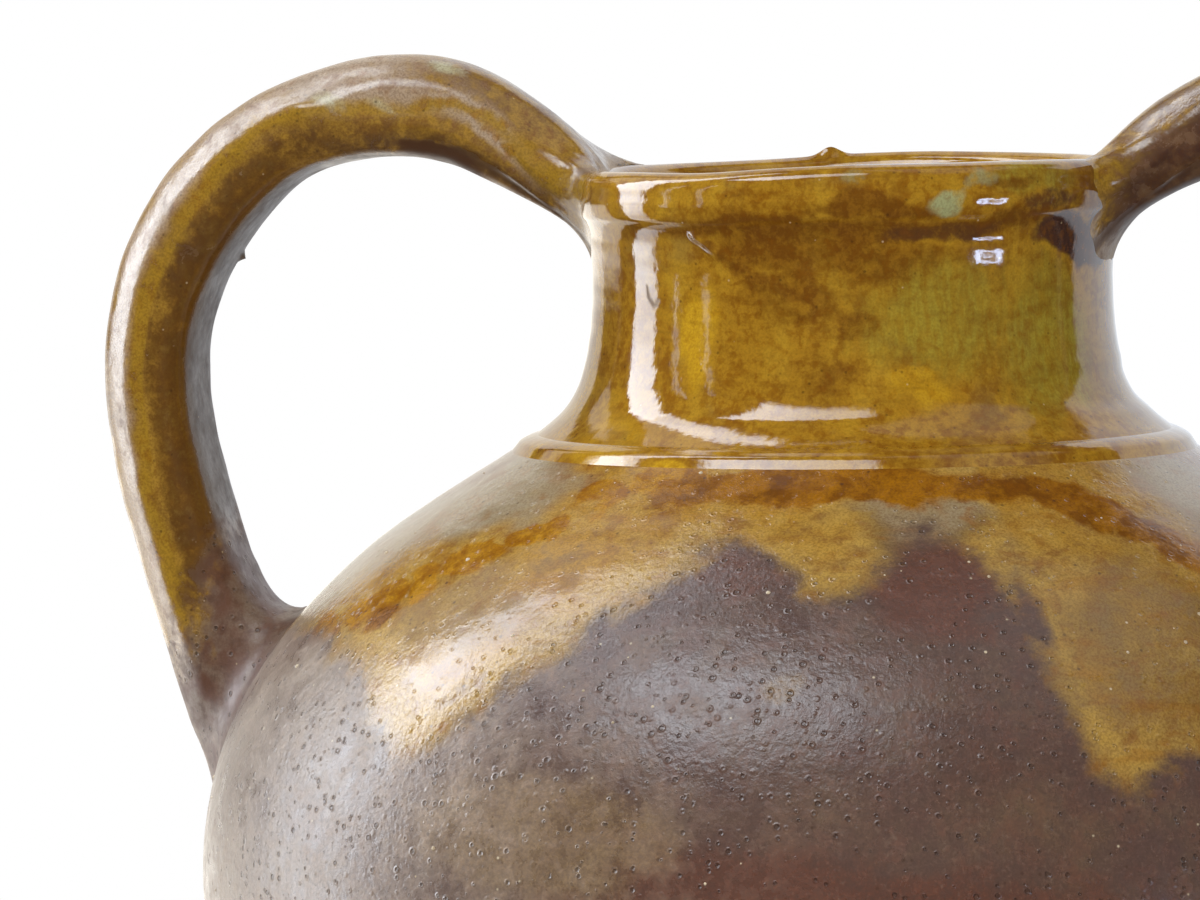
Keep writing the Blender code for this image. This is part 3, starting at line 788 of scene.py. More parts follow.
def collar_finish():
    material, tree, shader, where = new_finish("honey_glaze_on_the_collar")
    soften, broken, times, mark = tree.soften, tree.broken, tree.times, tree.mark
    broad = tree.use(MOTTLE, where, Scale=60.0, Seed=2.0)
    patchy = tree.use(MOTTLE, where, Scale=120.0, Seed=12.0)
    fine = tree.use(MOTTLE, where, Scale=420.0, Seed=7.0)
    specks = tree.use(SPECKS, where, Scale=800.0, Share=0.05)
    torn = times(tree.plus(patchy["Cloud"], fine["Cloud"]), 0.5)
    streaks = times(tree.plus(broad["Streak"], torn), 0.5)
    leafy = tree.tint(soften(fine["Streak"], 0.42, 0.60), OLIVE, MOSS)
    rust_and_shade = tree.tint(soften(fine["Cloud"], 0.38, 0.62), RUST_AND_SHADE, DARK_RUST_AND_SHADE)
    colour = tree.coats(
        RESIN,
        (soften(torn, 0.45, 0.58), RESIN_BROWN),
        (soften(broad["Streak"], 0.46, 0.64, 0.0, 0.6), RESIN_GOLD),
        (broken("green", streaks, 0.55, 1.00, 0.5), leafy),
        (broken("yellow", torn, 0.60, 0.88), YELLOW),
        (soften(broad["Cloud"], 0.52, 0.70, 0.0, 0.5), DRAB),
        (soften(patchy["Lines"], 0.46, 0.74, 0.0, 0.4), LINE_BROWN),
        # brown blotches, with painted shade under the rim and a painted shadow under the fold
        (times(broken("brown", torn, 0.46, 0.96), 0.85), rust_and_shade),
        (broken("dark", torn, 0.60, 0.92, 0.6), AUBERGINE),
        (broken("celadon", torn, 0.64, 0.94), CELADON),
        (soften(fine["Cloud"], 0.48, 0.66, 0.0, 0.4), AMBER),
        (soften(fine["Grain"], 0.34, 0.62, 0.25, 0.0), UMBER),
        (mark("flaw"), FLAW),
        (times(specks["Dark"], 0.5), SUNK_DARK),
        (times(specks["Light"], 0.6), SUNK_LIGHT),
    )
    rough = tree.times_plus(soften(patchy["Cloud"], 0.35, 0.65), 0.05, 0.025)
    rough = tree.times_plus(mark("flaw"), 0.7, rough)
    swell = times(tree.cloud(where, 240.0, 2.0, 0.5, 4.0), 1.6)
    height = tree.times_plus(fine["Grain"], 0.15, swell)
    finish_with(tree, shader, colour, rough, height, COLLAR_BUMP)
    return material


COLLAR = collar_finish()
print("finish", COLLAR.name)

# %% [markdown]
# ## The inside and the underside
# The inside is lined with the same glaze, thinner and browner. The underside stays bare clay.

# %% Lining and bare clay
LINING_AMBER, LINING_BROWN, LINING_BUMP = (0.200, 0.090, 0.016), (0.110, 0.045, 0.014), 0.0002
CLAY_PALE, CLAY_RED, CLAY_DARK = (0.330, 0.150, 0.080), (0.230, 0.100, 0.055), (0.120, 0.055, 0.032)
CLAY_GRIT, CLAY_BUMP = (0.60, 0.48, 0.38), 0.00035


def lining_finish():
    material, tree, shader, where = new_finish("brown_lining_glaze")
    broad = tree.use(MOTTLE, where, Scale=40.0, Seed=3.0)
    colour = tree.coats(
        LINING_AMBER,
        (tree.soften(broad["Cloud"], 0.35, 0.7), LINING_BROWN),
        (tree.soften(broad["Grain"], 0.35, 0.65, 0.3, 0.0), UMBER),
    )
    rough = tree.soften(broad["Streak"], 0.3, 0.7, 0.16, 0.30)
    finish_with(tree, shader, colour, rough, broad["Cloud"], LINING_BUMP)
    return material


def bare_clay_finish():
    material, tree, shader, where = new_finish("bare_terracotta")
    broad = tree.use(MOTTLE, where, Scale=60.0, Seed=4.0)
    specks = tree.use(SPECKS, where, Scale=500.0, Share=0.12)
    colour = tree.coats(
        CLAY_PALE,
        (tree.soften(broad["Cloud"], 0.3, 0.7), CLAY_RED),
        (tree.soften(broad["Grain"], 0.3, 0.7, 0.35, 0.0), CLAY_DARK),
        (tree.times(specks["Light"], 0.8), CLAY_GRIT),
    )
    rough = tree.soften(broad["Grain"], 0.2, 0.8, 0.70, 0.88)
    finish_with(tree, shader, colour, rough, broad["Grain"], CLAY_BUMP)
    return material


LINING, BARE_CLAY = lining_finish(), bare_clay_finish()
print("finishes", LINING.name, BARE_CLAY.name)

# %% [markdown]
# ## Marks in the glaze
# Each finish reads a few painted values. They are sums of soft spots, so a spot is one line:
# bearing, height, half width in degrees, half height in millimetres and strength.

# %% Marks
LEFT_RUN = [(-69, 216.5), (-63, 221), (-57, 226), (-51, 231.5), (-45, 237), (-39, 242.5), (-33, 247)]
RIGHT_RUN = [(30, 244.5), (35, 241), (39, 237), (43, 232), (47, 226)]
FOLD_SHADOW_LINE = [(-33.5, 294.2), (-29, 291.6), (-24, 288.0), (-19, 285.0), (-15, 282.2)]  # painted shadow under the fold
HOOK = [(-50.4, 285.4), (-50.0, 283.2), (-48.2, 281.6), (-46.8, 282.4)]  # a crooked scratch
FLECK = [(12.2, 261.5), (13.3, 262.8)]  # a fleck of soot


def along_run(run, half_width, half_height):
    """Full-strength spots along a run of glaze."""
    return [(bearing, height, half_width, half_height, 1.0) for bearing, height in run]


MARKS = {
    "red": [
        (9, 228, 7, 11, 1.0), (-12, 170, 18, 13, 0.9), (4, 166, 20, 10, 0.8), (-14, 230, 6, 5, 0.7),
        (100, 200, 16, 18, 0.8), (-120, 205, 14, 16, 0.8), (170, 190, 22, 20, 0.7), (22, 150, 25, 20, 0.5),
    ],
    "olive": [
        (-28, 180, 14, 13, 1.0), (-6, 211, 2.4, 3, 1.0), (60, 165, 25, 15, 0.5), (200, 170, 30, 16, 0.6),
    ],
    "amber": along_run(RIGHT_RUN, 5, 4.5) + [
        (-4, 246.5, 36, 5, 0.9), (-69, 214, 5, 3.5, 0.9), (-60, 219, 4, 2.5, 0.6),
        (110, 245, 50, 8, 0.7), (180, 246, 60, 6, 0.8), (-120, 244, 50, 8, 0.7),
    ],
    "umber": [
        (32, 214, 14, 22, 0.7), (62, 238, 20, 16, 1.0), (9, 240, 12, 5, 1.0), (30, 225, 8, 10, 0.6),
        (-78, 236, 16, 12, 0.9), (-60, 245, 16, 6, 0.4), (-44, 222, 12, 9, 0.6),
    ],
    "purple": [
        (-17, 236, 7, 6, 0.5), (-12, 231, 7, 6, 0.6), (32, 214, 7, 5, 0.4), (20, 224, 3, 12, 0.5),
        (120, 230, 14, 12, 0.7), (-130, 228, 16, 10, 0.7), (190, 226, 12, 10, 0.7),
    ],
    # brown: neck blotches, painted shade over pooled glaze just under the rim (294 to 300 mm), and the fold's
    # painted shadow
    "brown": along_run(FOLD_SHADOW_LINE, 3.5, 2.0) + [
        (70, 306, 24, 10, 1.0), (0, 298.6, 75, 2.6, 1.0), (-14, 282, 12, 7, 0.6), (-1, 279, 6, 4, 0.6),
        (-5, 267, 8, 6, 0.5), (-30, 300, 16, 6, 0.4), (-8, 294, 30, 7, 0.8), (4, 302.6, 16, 1.8, 1.0),
        (-18, 298, 20, 4, 0.6), (34, 306, 10, 1.5, 0.8), (-62, 275, 6, 30, 0.4), (5, 252, 40, 3.5, 0.4),
        (120, 285, 30, 14, 0.5), (200, 290, 40, 10, 0.6),
    ],
    "green": [(46, 274, 18, 18, 0.9), (18, 280, 24, 16, 0.8), (40, 307, 16, 4, 0.8), (150, 280, 30, 20, 0.7)],
    "yellow": along_run(LEFT_RUN, 5, 3.4) + [
        (-35, 275, 6, 15, 0.8), (13, 264, 8, 5, 0.6), (-50, 254, 14, 7, 0.5),
    ],
    "dark": [
        (56, 295, 16, 5, 1.0), (68, 296, 16, 6.5, 1.0), (84, 300, 18, 10, 0.9), (78, 304, 18, 12, 0.9),
        (45, 302, 10, 3, 0.5), (20, 298, 16, 2.5, 0.5),
    ],
    "celadon": [(19, 304.5, 4, 4, 0.9), (25, 307, 6, 2.5, 0.6), (-1, 306.5, 4, 2.5, 0.5)],
    # matte spots make the skin rougher and also paint a pale sheen on it
    "matte": [
        (-88, 206, 22, 24, 0.5), (-66, 196, 26, 26, 0.55), (-66, 160, 32, 36, 0.55), (-70, 176, 62, 62, 0.5),
        (160, 180, 60, 60, 0.6),
    ],
    # painted reflection: pale sheen painted on the shoulder glaze, beside the amber runs and behind
    "veil": [
        (-67, 243, 22, 9, 1.0), (-84, 228, 14, 16, 1.0), (9, 241.5, 11, 4, 0.6), (66, 244, 18, 8, 0.8),
        (150, 238, 40, 10, 0.7),
    ],
}


def wandering(points, reach, size, seeds):
    """Points moved about a little, so that what is painted on them gets a natural outline."""
    return points + reach * np.stack([ragged(points, size, seed) for seed in seeds], axis=-1)


def flaw_mark(points):
    """The thin dark flaws on the neck, drawn as lines about a millimetre wide."""
    total = np.zeros(points.shape[:-1])
    points = wandering(points, 0.0005, 0.004, (51, 52, 53))
    for line, strength in ((HOOK, 0.6), (FLECK, 1.0)):
        spots = [place(bearing, NECK_WAIST_RADIUS, height / 1000) for bearing, height in line]
        for start, end in zip(spots, spots[1:]):
            span = end - start
            share = np.clip(((points - start) @ span) / (span @ span), 0, 1)
            gap = np.linalg.norm(points - start - share[..., None] * span, axis=-1)
            total = np.maximum(total, strength * soft_step(-gap, -0.0008, -0.0002))
    return total


def paint(mesh, points):
    """Stores every painted value that a finish may read."""
    warped = wandering(points, 0.0050, 0.014, (21, 24, 27))
    put_values(mesh, "run", glaze_run(points))
    put_values(mesh, "flaw", flaw_mark(points))
    for name, spots in MARKS.items():
        put_values(mesh, name, blots(warped, spots))


print(sum(len(spots) for spots in MARKS.values()), "painted spots in", len(MARKS), "marks")

# %% [markdown]
# ## Finishing a turned piece
# The wheel stores each vertex's row in the section, which tells the outer skin from the lining. Only the
# outer faces get normals of their own.

# %% Words for a turned piece
SLOPE_STEP = 0.0004  # the relief's slope is measured over this length on either side


def inner_side(skin, top_wall, bottom_wall, top_normal, bottom_normal):
    """The wall's inner outline, at a wall that changes evenly from top to bottom."""
    normal = outline_normals(skin)
    normal[0], normal[-1] = top_normal, bottom_normal
    wall = np.linspace(top_wall, bottom_wall, len(skin))[:, None]
    return skin - normal * wall


def take_rows(mesh):
    """Each vertex's row in the section, taken off the mesh."""
    rows = np.empty(len(mesh.vertices), np.float32)
    mesh.attributes["row"].data.foreach_get("value", rows)
    mesh.attributes.remove(mesh.attributes["row"])
    return np.rint(rows).astype(int)


def dress_corners(mesh, outer, shaded, lining):
    """Gives the outer faces their shading normals, and the inner faces the lining."""
    loops = np.empty(len(mesh.loops), np.int32)
    mesh.loops.foreach_get("vertex_index", loops)
    sizes = np.empty(len(mesh.polygons), np.int32)
    mesh.polygons.foreach_get("loop_total", sizes)
    owner = np.repeat(np.arange(len(sizes)), sizes)
    inside = np.bincount(owner, weights=(~outer[loops]).astype(float)) > 0
    corner_normals = shaded[loops]
    corner_normals[inside[owner]] = 0
    if lining:
        mesh.materials.append(lining)
        mesh.polygons.foreach_set("material_index", inside.astype(np.int32))
    length = np.linalg.norm(corner_normals, axis=1)
    corner_normals[length > 0] /= length[length > 0, None]
    mesh.normals_split_custom_set(corner_normals)
    mesh.update()


print("the relief's slope is measured over", 2 * SLOPE_STEP, "m")

# %% [markdown]
# After the wheel, each piece gets its relief. The shading normals of the outer skin are worked out
# from the relief itself, so two pieces that meet shade as one surface.

# %% Relief on a turned piece
def turned(name, skin, skin_normals, inner, finish, lining=None):
    """Turns a closed section and gives its outer rows the relief. Returns the finished object."""
    section = section_object(name + "_section", np.vstack([skin, inner]))
    obj = grown(section, name, WHEEL, {"Turns": TURNS, "Material": finish})
    mesh = obj.data
    if signed_volume(mesh) < 0:
        mesh.flip_normals()
    points, rows = coordinates(mesh), take_rows(mesh)
    outer = rows < len(skin)
    round_about = points[:, :2] / np.maximum(radius_of(points), 1e-9)[:, None]
    flat = np.zeros((len(points), 2))
    flat[outer] = skin_normals[rows[outer]]
    normal = np.c_[round_about * flat[:, :1], flat[:, 1]]
    across = np.c_[-round_about[:, 1], round_about[:, 0], np.zeros(len(points))]
    down = np.cross(across, normal)
    base = points.copy()
    slope_across, slope_down = (
        (relief(base + way * SLOPE_STEP) - relief(base - way * SLOPE_STEP)) / (2 * SLOPE_STEP)
        for way in (across, down)
    )
    points[outer] += normal[outer] * relief(base)[outer, None]
    points[:, 2] += rim_warp(base)
    mesh.vertices.foreach_set("co", points.ravel())
    paint(mesh, base)
    put_values(mesh, "pit", np.zeros(len(points)))
    shaded = normal - across * slope_across[:, None] - down * slope_down[:, None]
    shaded[~outer] = 0
    dress_corners(mesh, outer, shaded, lining)
    print(name, len(mesh.polygons), "faces")
    return obj


# %% [markdown]
# The normals are taken from the whole outline before it is cut into pieces. The rim is turned with its
# mouth, the other pieces with a lining at the wall's thickness.

# %% Rim, neck, shoulder and belly
SPACING = {"rim": 0.00055, "neck": 0.00075, "shoulder": 0.00130, "belly": 0.00150}
INSIDE_SPACING = {"rim": 0.0009, "neck": 0.0016, "shoulder": 0.0050, "belly": 0.0060}
NECK_TOP_WALL = rim_seat[0] - MOUTH_RADIUS - 0.0006
LEVEL = at(1.0, 0.0)
skins = {"rim": rim_skin, "neck": neck_skin, "shoulder": shoulder_skin, "belly": belly_skin}
rows = {part: spaced(skin, SPACING[part]) for part, skin in skins.items()}
all_normals = outline_normals(join(*rows.values()))
all_normals[0] = at(0, 1)
row_normals, first = {}, 0
for part, part_rows in rows.items():
    row_normals[part] = all_normals[first : first + len(part_rows)]
    first += len(part_rows) - 1


def thrown(part, name, finish, top_wall, bottom_wall, top_normal, bottom_normal):
    """A piece of the wall with its lining."""
    inside = inner_side(skins[part], top_wall, bottom_wall, top_normal, bottom_normal)
    inside = spaced(inside, INSIDE_SPACING[part])[::-1]
    return turned(name, rows[part], row_normals[part], inside, finish, LINING)


rim_inside = spaced(mouth_skin, INSIDE_SPACING["rim"])[:-1]
rim = turned("glazed_rim", rows["rim"], row_normals["rim"], rim_inside, COLLAR)
neck = thrown("neck", "thrown_neck", COLLAR, NECK_TOP_WALL, BELLY_WALL, LEVEL, cone_normal)
shoulder = thrown("shoulder", "thrown_shoulder", BODY, BELLY_WALL, BELLY_WALL, cone_normal, LEVEL)
belly = thrown("belly", "thrown_belly", BODY, BELLY_WALL, BASE_WALL, LEVEL, LEVEL)

# %% [markdown]
# ## Handles
# Each handle is a strap of clay, pulled thin towards the rim, bent over and pressed onto the shoulder.
# A node tree sweeps the rounded section along the route. Then every line along the strap is ended in a
# fillet that leaves the strap and lies down on the wall, which is how the wads of clay look once smoothed.

# %% Route of the strap
HANDLE_WIDTH, HANDLE_THICKNESS = 0.0285, 0.0217
OUTER_SQUARENESS, INNER_SQUARENESS = 2.0, 4.0  # the outer face is rounder than the inner one
HANDLE_JOINT_DROP, HANDLE_JOINT_PITCH, HANDLE_JOINT_PULL = 0.0058, math.radians(36), 0.0210
HANDLE_CREST_OUT, HANDLE_CREST_RISE, HANDLE_CREST_PULL = 0.0408, 0.0120, 0.0200
HANDLE_REACH, HANDLE_SIDE_DROP, HANDLE_SIDE_PULL = 0.0130, 0.0431, 0.0200
HANDLE_FOOT_RISE, HANDLE_FOOT_LEAN, HANDLE_FOOT_PULL = 0.0312, math.radians(16), 0.0340
HANDLE_ANCHOR, HANDLE_JOINT_SIZE, HANDLE_FOOT_SIZE = 0.014, 0.788, 1.10
STRAP_RINGS, STRAP_POINTS, SAMPLE_RING = 260, 96, 150
QUARTER_ARC = 4 * (math.sqrt(2) - 1) / 3


def handle_route():
    """The strap's middle line in (radius, height): point, inner handle, outer handle, size."""
    into_rim = at(-math.cos(HANDLE_JOINT_PITCH), -math.sin(HANDLE_JOINT_PITCH))
    into_wall = at(-math.sin(HANDLE_FOOT_LEAN), -math.cos(HANDLE_FOOT_LEAN))
    joint = at(RIM_RADIUS, RIM_TOP - HANDLE_JOINT_DROP)
    crest = at(RIM_RADIUS + HANDLE_CREST_OUT, RIM_TOP + HANDLE_CREST_RISE)
    side = at(BELLY_RADIUS + HANDLE_REACH, RIM_TOP - HANDLE_SIDE_DROP)
    foot_radius = BELLY_RADIUS * math.sqrt(1 - (HANDLE_FOOT_RISE / SHOULDER_RISE) ** 2)
    foot = at(foot_radius, BELLY_HEIGHT + HANDLE_FOOT_RISE)
    rim_anchor, wall_anchor = into_rim * HANDLE_ANCHOR, into_wall * HANDLE_ANCHOR
    joint_end, foot_end = joint + rim_anchor, foot + wall_anchor
    bend = side - crest
    return [
        (joint_end, joint_end + rim_anchor, joint - into_rim * HANDLE_JOINT_PULL, HANDLE_JOINT_SIZE),
        (crest, crest - at(HANDLE_CREST_PULL, 0), crest + at(bend[0] * QUARTER_ARC, 0), 1.0),
        (side, side + at(0, -bend[1] * QUARTER_ARC), side - at(0, HANDLE_SIDE_PULL), 1.0),
        (foot_end, foot - into_wall * HANDLE_FOOT_PULL, foot_end + wall_anchor, HANDLE_FOOT_SIZE),
    ]


def route_object():
    curve = bpy.data.curves.new("strap_route", "CURVE")
    curve.dimensions = "3D"
    spline = curve.splines.new("BEZIER")
    spline.resolution_u = 40
    route = handle_route()
    spline.bezier_points.add(len(route) - 1)
    for knot, (point, inner, outer, size) in zip(spline.bezier_points, route):
        knot.handle_left_type = knot.handle_right_type = "FREE"
        knot.co = (point[0], 0.0, point[1])
        knot.handle_left = (inner[0], 0.0, inner[1])
        knot.handle_right = (outer[0], 0.0, outer[1])
        knot.radius = size
    return bpy.data.objects.new("strap_route", curve)


print("strap route", [knot[0].round(4).tolist() for knot in handle_route()])

# %% [markdown]
# The section is a circle whose points are moved out to a squarer shape, by a power that is higher on
# the inner face than on the outer one.

# %% The strap, as a node tree
def strap_tree():
    numbers = ("Width", "Thickness", "Outer Squareness", "Inner Squareness")
    sockets = {**dict.fromkeys(numbers, "Float"), "Rings": "Int", "Points": "Int", "Material": "Material"}
    tree, given = new_tree("pulled_strap", sockets)
    even = tree.node("GeometryNodeResampleCurve", {"Curve": given["Geometry"], "Count": given["Rings"]})
    circle = tree.node("GeometryNodeCurvePrimitiveCircle", {"Resolution": given["Points"], "Radius": 1.0})
    spot = tree.node("ShaderNodeSeparateXYZ", {0: tree.node("GeometryNodeInputPosition").outputs[0]}).outputs
    on_inner_face = tree.maths("GREATER_THAN", spot["Y"], 0.0)
    change = tree.minus(given["Inner Squareness"], given["Outer Squareness"])
    power = tree.over(2.0, tree.times_plus(on_inner_face, change, given["Outer Squareness"]))
    squared = []
    for axis, size in (("X", given["Width"]), ("Y", given["Thickness"])):
        length = tree.maths("POWER", tree.maths("ABSOLUTE", spot[axis]), power)
        signed = tree.times(length, tree.maths("SIGN", spot[axis]))
        squared.append(tree.times(signed, tree.times(size, 0.5)))
    moved = tree.node("ShaderNodeCombineXYZ", {"X": squared[0], "Y": squared[1]}).outputs[0]
    section = tree.node("GeometryNodeSetPosition", {"Geometry": circle.outputs[0], "Position": moved})
    sweep = {"Curve": even.outputs[0], "Profile Curve": section.outputs[0]}
    swept = tree.node("GeometryNodeCurveToMesh", sweep)
    return close_tree(tree, swept.outputs[0], given["Material"])


STRAP = strap_tree()
strap = grown(
    route_object(),
    "strap_blank",
    STRAP,
    {
        "Width": HANDLE_WIDTH,
        "Thickness": HANDLE_THICKNESS,
        "Outer Squareness": OUTER_SQUARENESS,
        "Inner Squareness": INNER_SQUARENESS,
        "Rings": STRAP_RINGS,
        "Points": STRAP_POINTS,
        "Material": COLLAR,
    },
)
blank = coordinates(strap.data).reshape(STRAP_RINGS, STRAP_POINTS, 3)
bpy.data.objects.remove(strap)
middle = blank.mean(axis=1)
print("strap blank", blank.shape, "width", np.ptp(blank[SAMPLE_RING, :, 1]), "reach", blank[..., 0].max())

# %% [markdown]
# The wall that a fillet lands on is the outline without the rim's cove. For any point, the nearest
# place on that outline gives its distance off the wall and the direction straight out of it.

# %% Landing on the wall
POINTS_TO_RIDGE = 119  # of the rim's outline, from its crest down to its ridge
MOUTH_START, BELLY_END = 20, 60  # the parts of the mouth and the belly that a handle may reach
landing_outline = join(
    mouth_skin[MOUTH_START:],
    spaced(rim_skin[:POINTS_TO_RIDGE], 0.0005),
    spaced(cubic(rim_ridge, at(0, -0.0020), at(0.0004, 0.0040), at(0.0563, NECK_TOP - 0.0050)), 0.0006),
    spaced(neck_skin[neck_skin[:, 1] < NECK_TOP - 0.0052], 0.0015),
    spaced(shoulder_skin, 0.002),
    spaced(belly_skin[:BELLY_END], 0.003),
)


def dots(first, second):
    return np.einsum("nk,nk->n", first, second)


def nearest_on_wall(points):
    """Signed distance off the landing outline, the nearest point on it and the way out of it."""
    flat = np.stack([radius_of(points), points[..., 2]], axis=-1).reshape(-1, 2)
    start, along = landing_outline[:-1], np.diff(landing_outline, axis=0)
    share = np.einsum("nmk,mk->nm", flat[:, None] - start[None], along) / np.einsum("mk,mk->m", along, along)
    share = np.clip(share, 0, 1)
    foot = start[None] + share[..., None] * along[None]
    gap = np.linalg.norm(flat[:, None] - foot, axis=2)
    best = gap.argmin(axis=1)
    pick = np.arange(len(flat))
    normals = outline_normals(landing_outline)
    out = normals[best] * (1 - share[pick, best])[:, None] + normals[best + 1] * share[pick, best][:, None]
    out /= np.linalg.norm(out, axis=1)[:, None]
    side = dots(flat - foot[pick, best], out)
    turn = np.arctan2(points[..., 1], points[..., 0]).reshape(-1)
    spot = foot[pick, best]
    spot3 = np.c_[spot[:, 0] * np.cos(turn), spot[:, 0] * np.sin(turn), spot[:, 1]]
    out3 = np.c_[out[:, 0] * np.cos(turn), out[:, 0] * np.sin(turn), out[:, 1]]
    signed = gap[pick, best] * np.sign(side)
    shape = points.shape[:-1]
    return signed.reshape(shape), spot3.reshape(points.shape), out3.reshape(points.shape)


print("landing outline has", len(landing_outline), "points")

# %% [markdown]
# A line of the strap is cut where it enters the wall. Its fillet starts a little before the cut, on the
# strap, and ends away from the strap's middle, on the wall.

# %% Fillets
FILLET_RINGS, STRAP_ROWS = 16, 210
MOST_INWARD = 0.3  # at the rim, a fillet turns inward by no more than this share
SINK = 0.0003  # a handle's edge ends just under the wall
RIM_LIP = 0.0528  # strap lines that pass above the rim end at this radius


def along_line(line, run, wanted):
    return np.stack([np.interp(wanted, run, line[:, k]) for k in range(3)], axis=-1)


def landed(lines, on_strap, on_wall, lip=0.0):
    """Cuts strap lines where they enter the wall, or pass over the lip.

    Gives each cut, the run to the fillet's start, the spot under the cut, the fillet's end and its way out.
    """
    count = lines.shape[1]
    left = np.minimum(nearest_on_wall(lines)[0], radius_of(lines) - lip)
    crossing, start_run = np.zeros((count, 3)), np.zeros(count)
    for j in range(count):
        line = lines[:, j]
        run = run_along(line)
        inside = int(np.argmax(left[:, j] < 0))
        share = left[inside - 1, j] / (left[inside - 1, j] - left[inside, j])
        cut = run[inside - 1] + share * (run[inside] - run[inside - 1])
        crossing[j] = along_line(line, run, cut)
        start_run[j] = cut - on_strap[j]
    _, spot, out = nearest_on_wall(crossing)
    away = crossing - crossing.mean(axis=0)
    away -= out * dots(away, out)[:, None]
    away /= np.linalg.norm(away, axis=1)[:, None]
    if lip:
        outward = crossing * (1, 1, 0) / radius_of(crossing)[:, None]
        away -= outward * np.minimum(dots(away, outward) + MOST_INWARD, 0)[:, None]
    _, far, far_out = nearest_on_wall(spot + away * on_wall[:, None])
    return crossing, start_run, spot, far, far_out


def fillet(start, crossing, spot, end):
    """Rings that leave along the strap and arrive along the wall."""
    t = (np.arange(1, FILLET_RINGS + 1) / FILLET_RINGS)[:, None, None]
    leave, arrive = start + (crossing - start) * 2 / 3, end + (spot - end) * 2 / 3
    return (1 - t) ** 3 * start + 3 * (1 - t) ** 2 * t * leave + 3 * (1 - t) * t**2 * arrive + t**3 * end


print("a fillet has", FILLET_RINGS, "rings")

# %% [markdown]
# The two ends are unlike. At the rim the strap's top runs on into the rim's edge, and its sides spread
# along the rim. At the shoulder the outer face is smeared far down the wall and the inner one is hollow.
# Before that, the hand leaves a flat along the strap, and thick and thin places.

# %% The hand's pressure
along_strap = middle[SAMPLE_RING + 1] - middle[SAMPLE_RING - 1]
out_part = (blank[SAMPLE_RING] - middle[SAMPLE_RING]) @ np.cross(along_strap, (0, 1.0, 0))
out_part -= (out_part.max() + out_part.min()) / 2
side_part = blank[SAMPLE_RING, :, 1]
turn_of_section = np.arctan2(out_part / out_part.max(), side_part / side_part.max())
out_share, side_share = np.sin(turn_of_section), np.cos(turn_of_section)
FLAT_TURNS, FLATNESS = (14, 62), 0.65  # the thumb's flat: where it lies round the strap, and how flat
ROUNDING_PASSES = 8
WELL_CLEAR = slice(60, 140)  # rings that lie well away from both ends


def by_face(outer, corner, side, inner):
    """A length for each line of the strap, from its outer face over the sides to its inner face."""
    return np.interp(out_share, [-1, -0.2, 0.55, 1], [inner, side, corner, outer])


def squeezed(rings, facing):
    """The long flat that the thumb left along the strap's outer front edge."""
    turn = np.where(side_share * facing > 0, np.arcsin(np.clip(out_share, -1, 1)), np.nan)
    first, last = (int(np.nanargmin(abs(turn - math.radians(t)))) for t in FLAT_TURNS)
    share = (turn - turn[first]) / (turn[last] - turn[first])
    on_flat = (share > 0) & (share < 1)
    share = share[on_flat][None, :, None]
    flat = rings.copy()
    chord = rings[:, first, None] * (1 - share) + rings[:, last, None] * share
    flat[:, on_flat] = (1 - FLATNESS) * rings[:, on_flat] + FLATNESS * chord
    rounding = soft_step(out_share, -0.45, 0.0)[None, :, None]
    for _ in range(ROUNDING_PASSES):
        evened = (np.roll(flat, 1, axis=1) + 2 * flat + np.roll(flat, -1, axis=1)) / 4
        flat = flat + rounding * (evened - flat)
    return flat


def grid_normals(grid):
    """The way out of a strap at each of its points."""
    along = np.gradient(grid, axis=0)
    around = np.roll(grid, -1, axis=1) - np.roll(grid, 1, axis=1)
    normal = np.cross(around, along)
    normal /= np.maximum(np.linalg.norm(normal, axis=-1), 1e-12)[..., None]
    centre = grid.mean(axis=1, keepdims=True)
    if np.einsum("rpk,rpk->rp", normal, grid - centre)[WELL_CLEAR].mean() < 0:
        normal = -normal
    return normal


off_wall = nearest_on_wall(middle)[0] > 0
first_free, last_free = int(np.argmax(off_wall)), len(off_wall) - 1 - int(np.argmax(off_wall[::-1]))
blank_share = ((np.arange(STRAP_RINGS) - first_free) / (last_free - first_free))[:, None]


def pressed(rings, facing):
    """The thick and thin places of each strap, before it is joined."""

    def near(along, width):
        return bell(blank_share, along, width)

    outer_face, inner_face = (soft_step(side * out_share, 0.0, 0.6)[None, :] for side in (1, -1))
    hand = outer_face * (0.0010 * near(0.20, 0.06) - 0.0004 * near(0.10, 0.05) - 0.0005 * near(0.32, 0.09))
    hand = hand - inner_face * 0.0042 * near(0.0, 0.075)
    hand = hand + inner_face * (0.0006 * soft_step(blank_share, 0.32, 0.5) - 0.0008 * near(0.34, 0.06))
    if facing < 0:
        hand = hand - 0.0006 * outer_face * near(0.16, 0.07)
    return rings + grid_normals(rings) * hand[..., None]


print("the strap is free from ring", first_free, "to", last_free)

# %% [markdown]
# The free part of every line gets the same number of rows, so that the strap and its two fillets make
# one regular grid.

# %% The handle's grid
MIDDLE_RING = 110


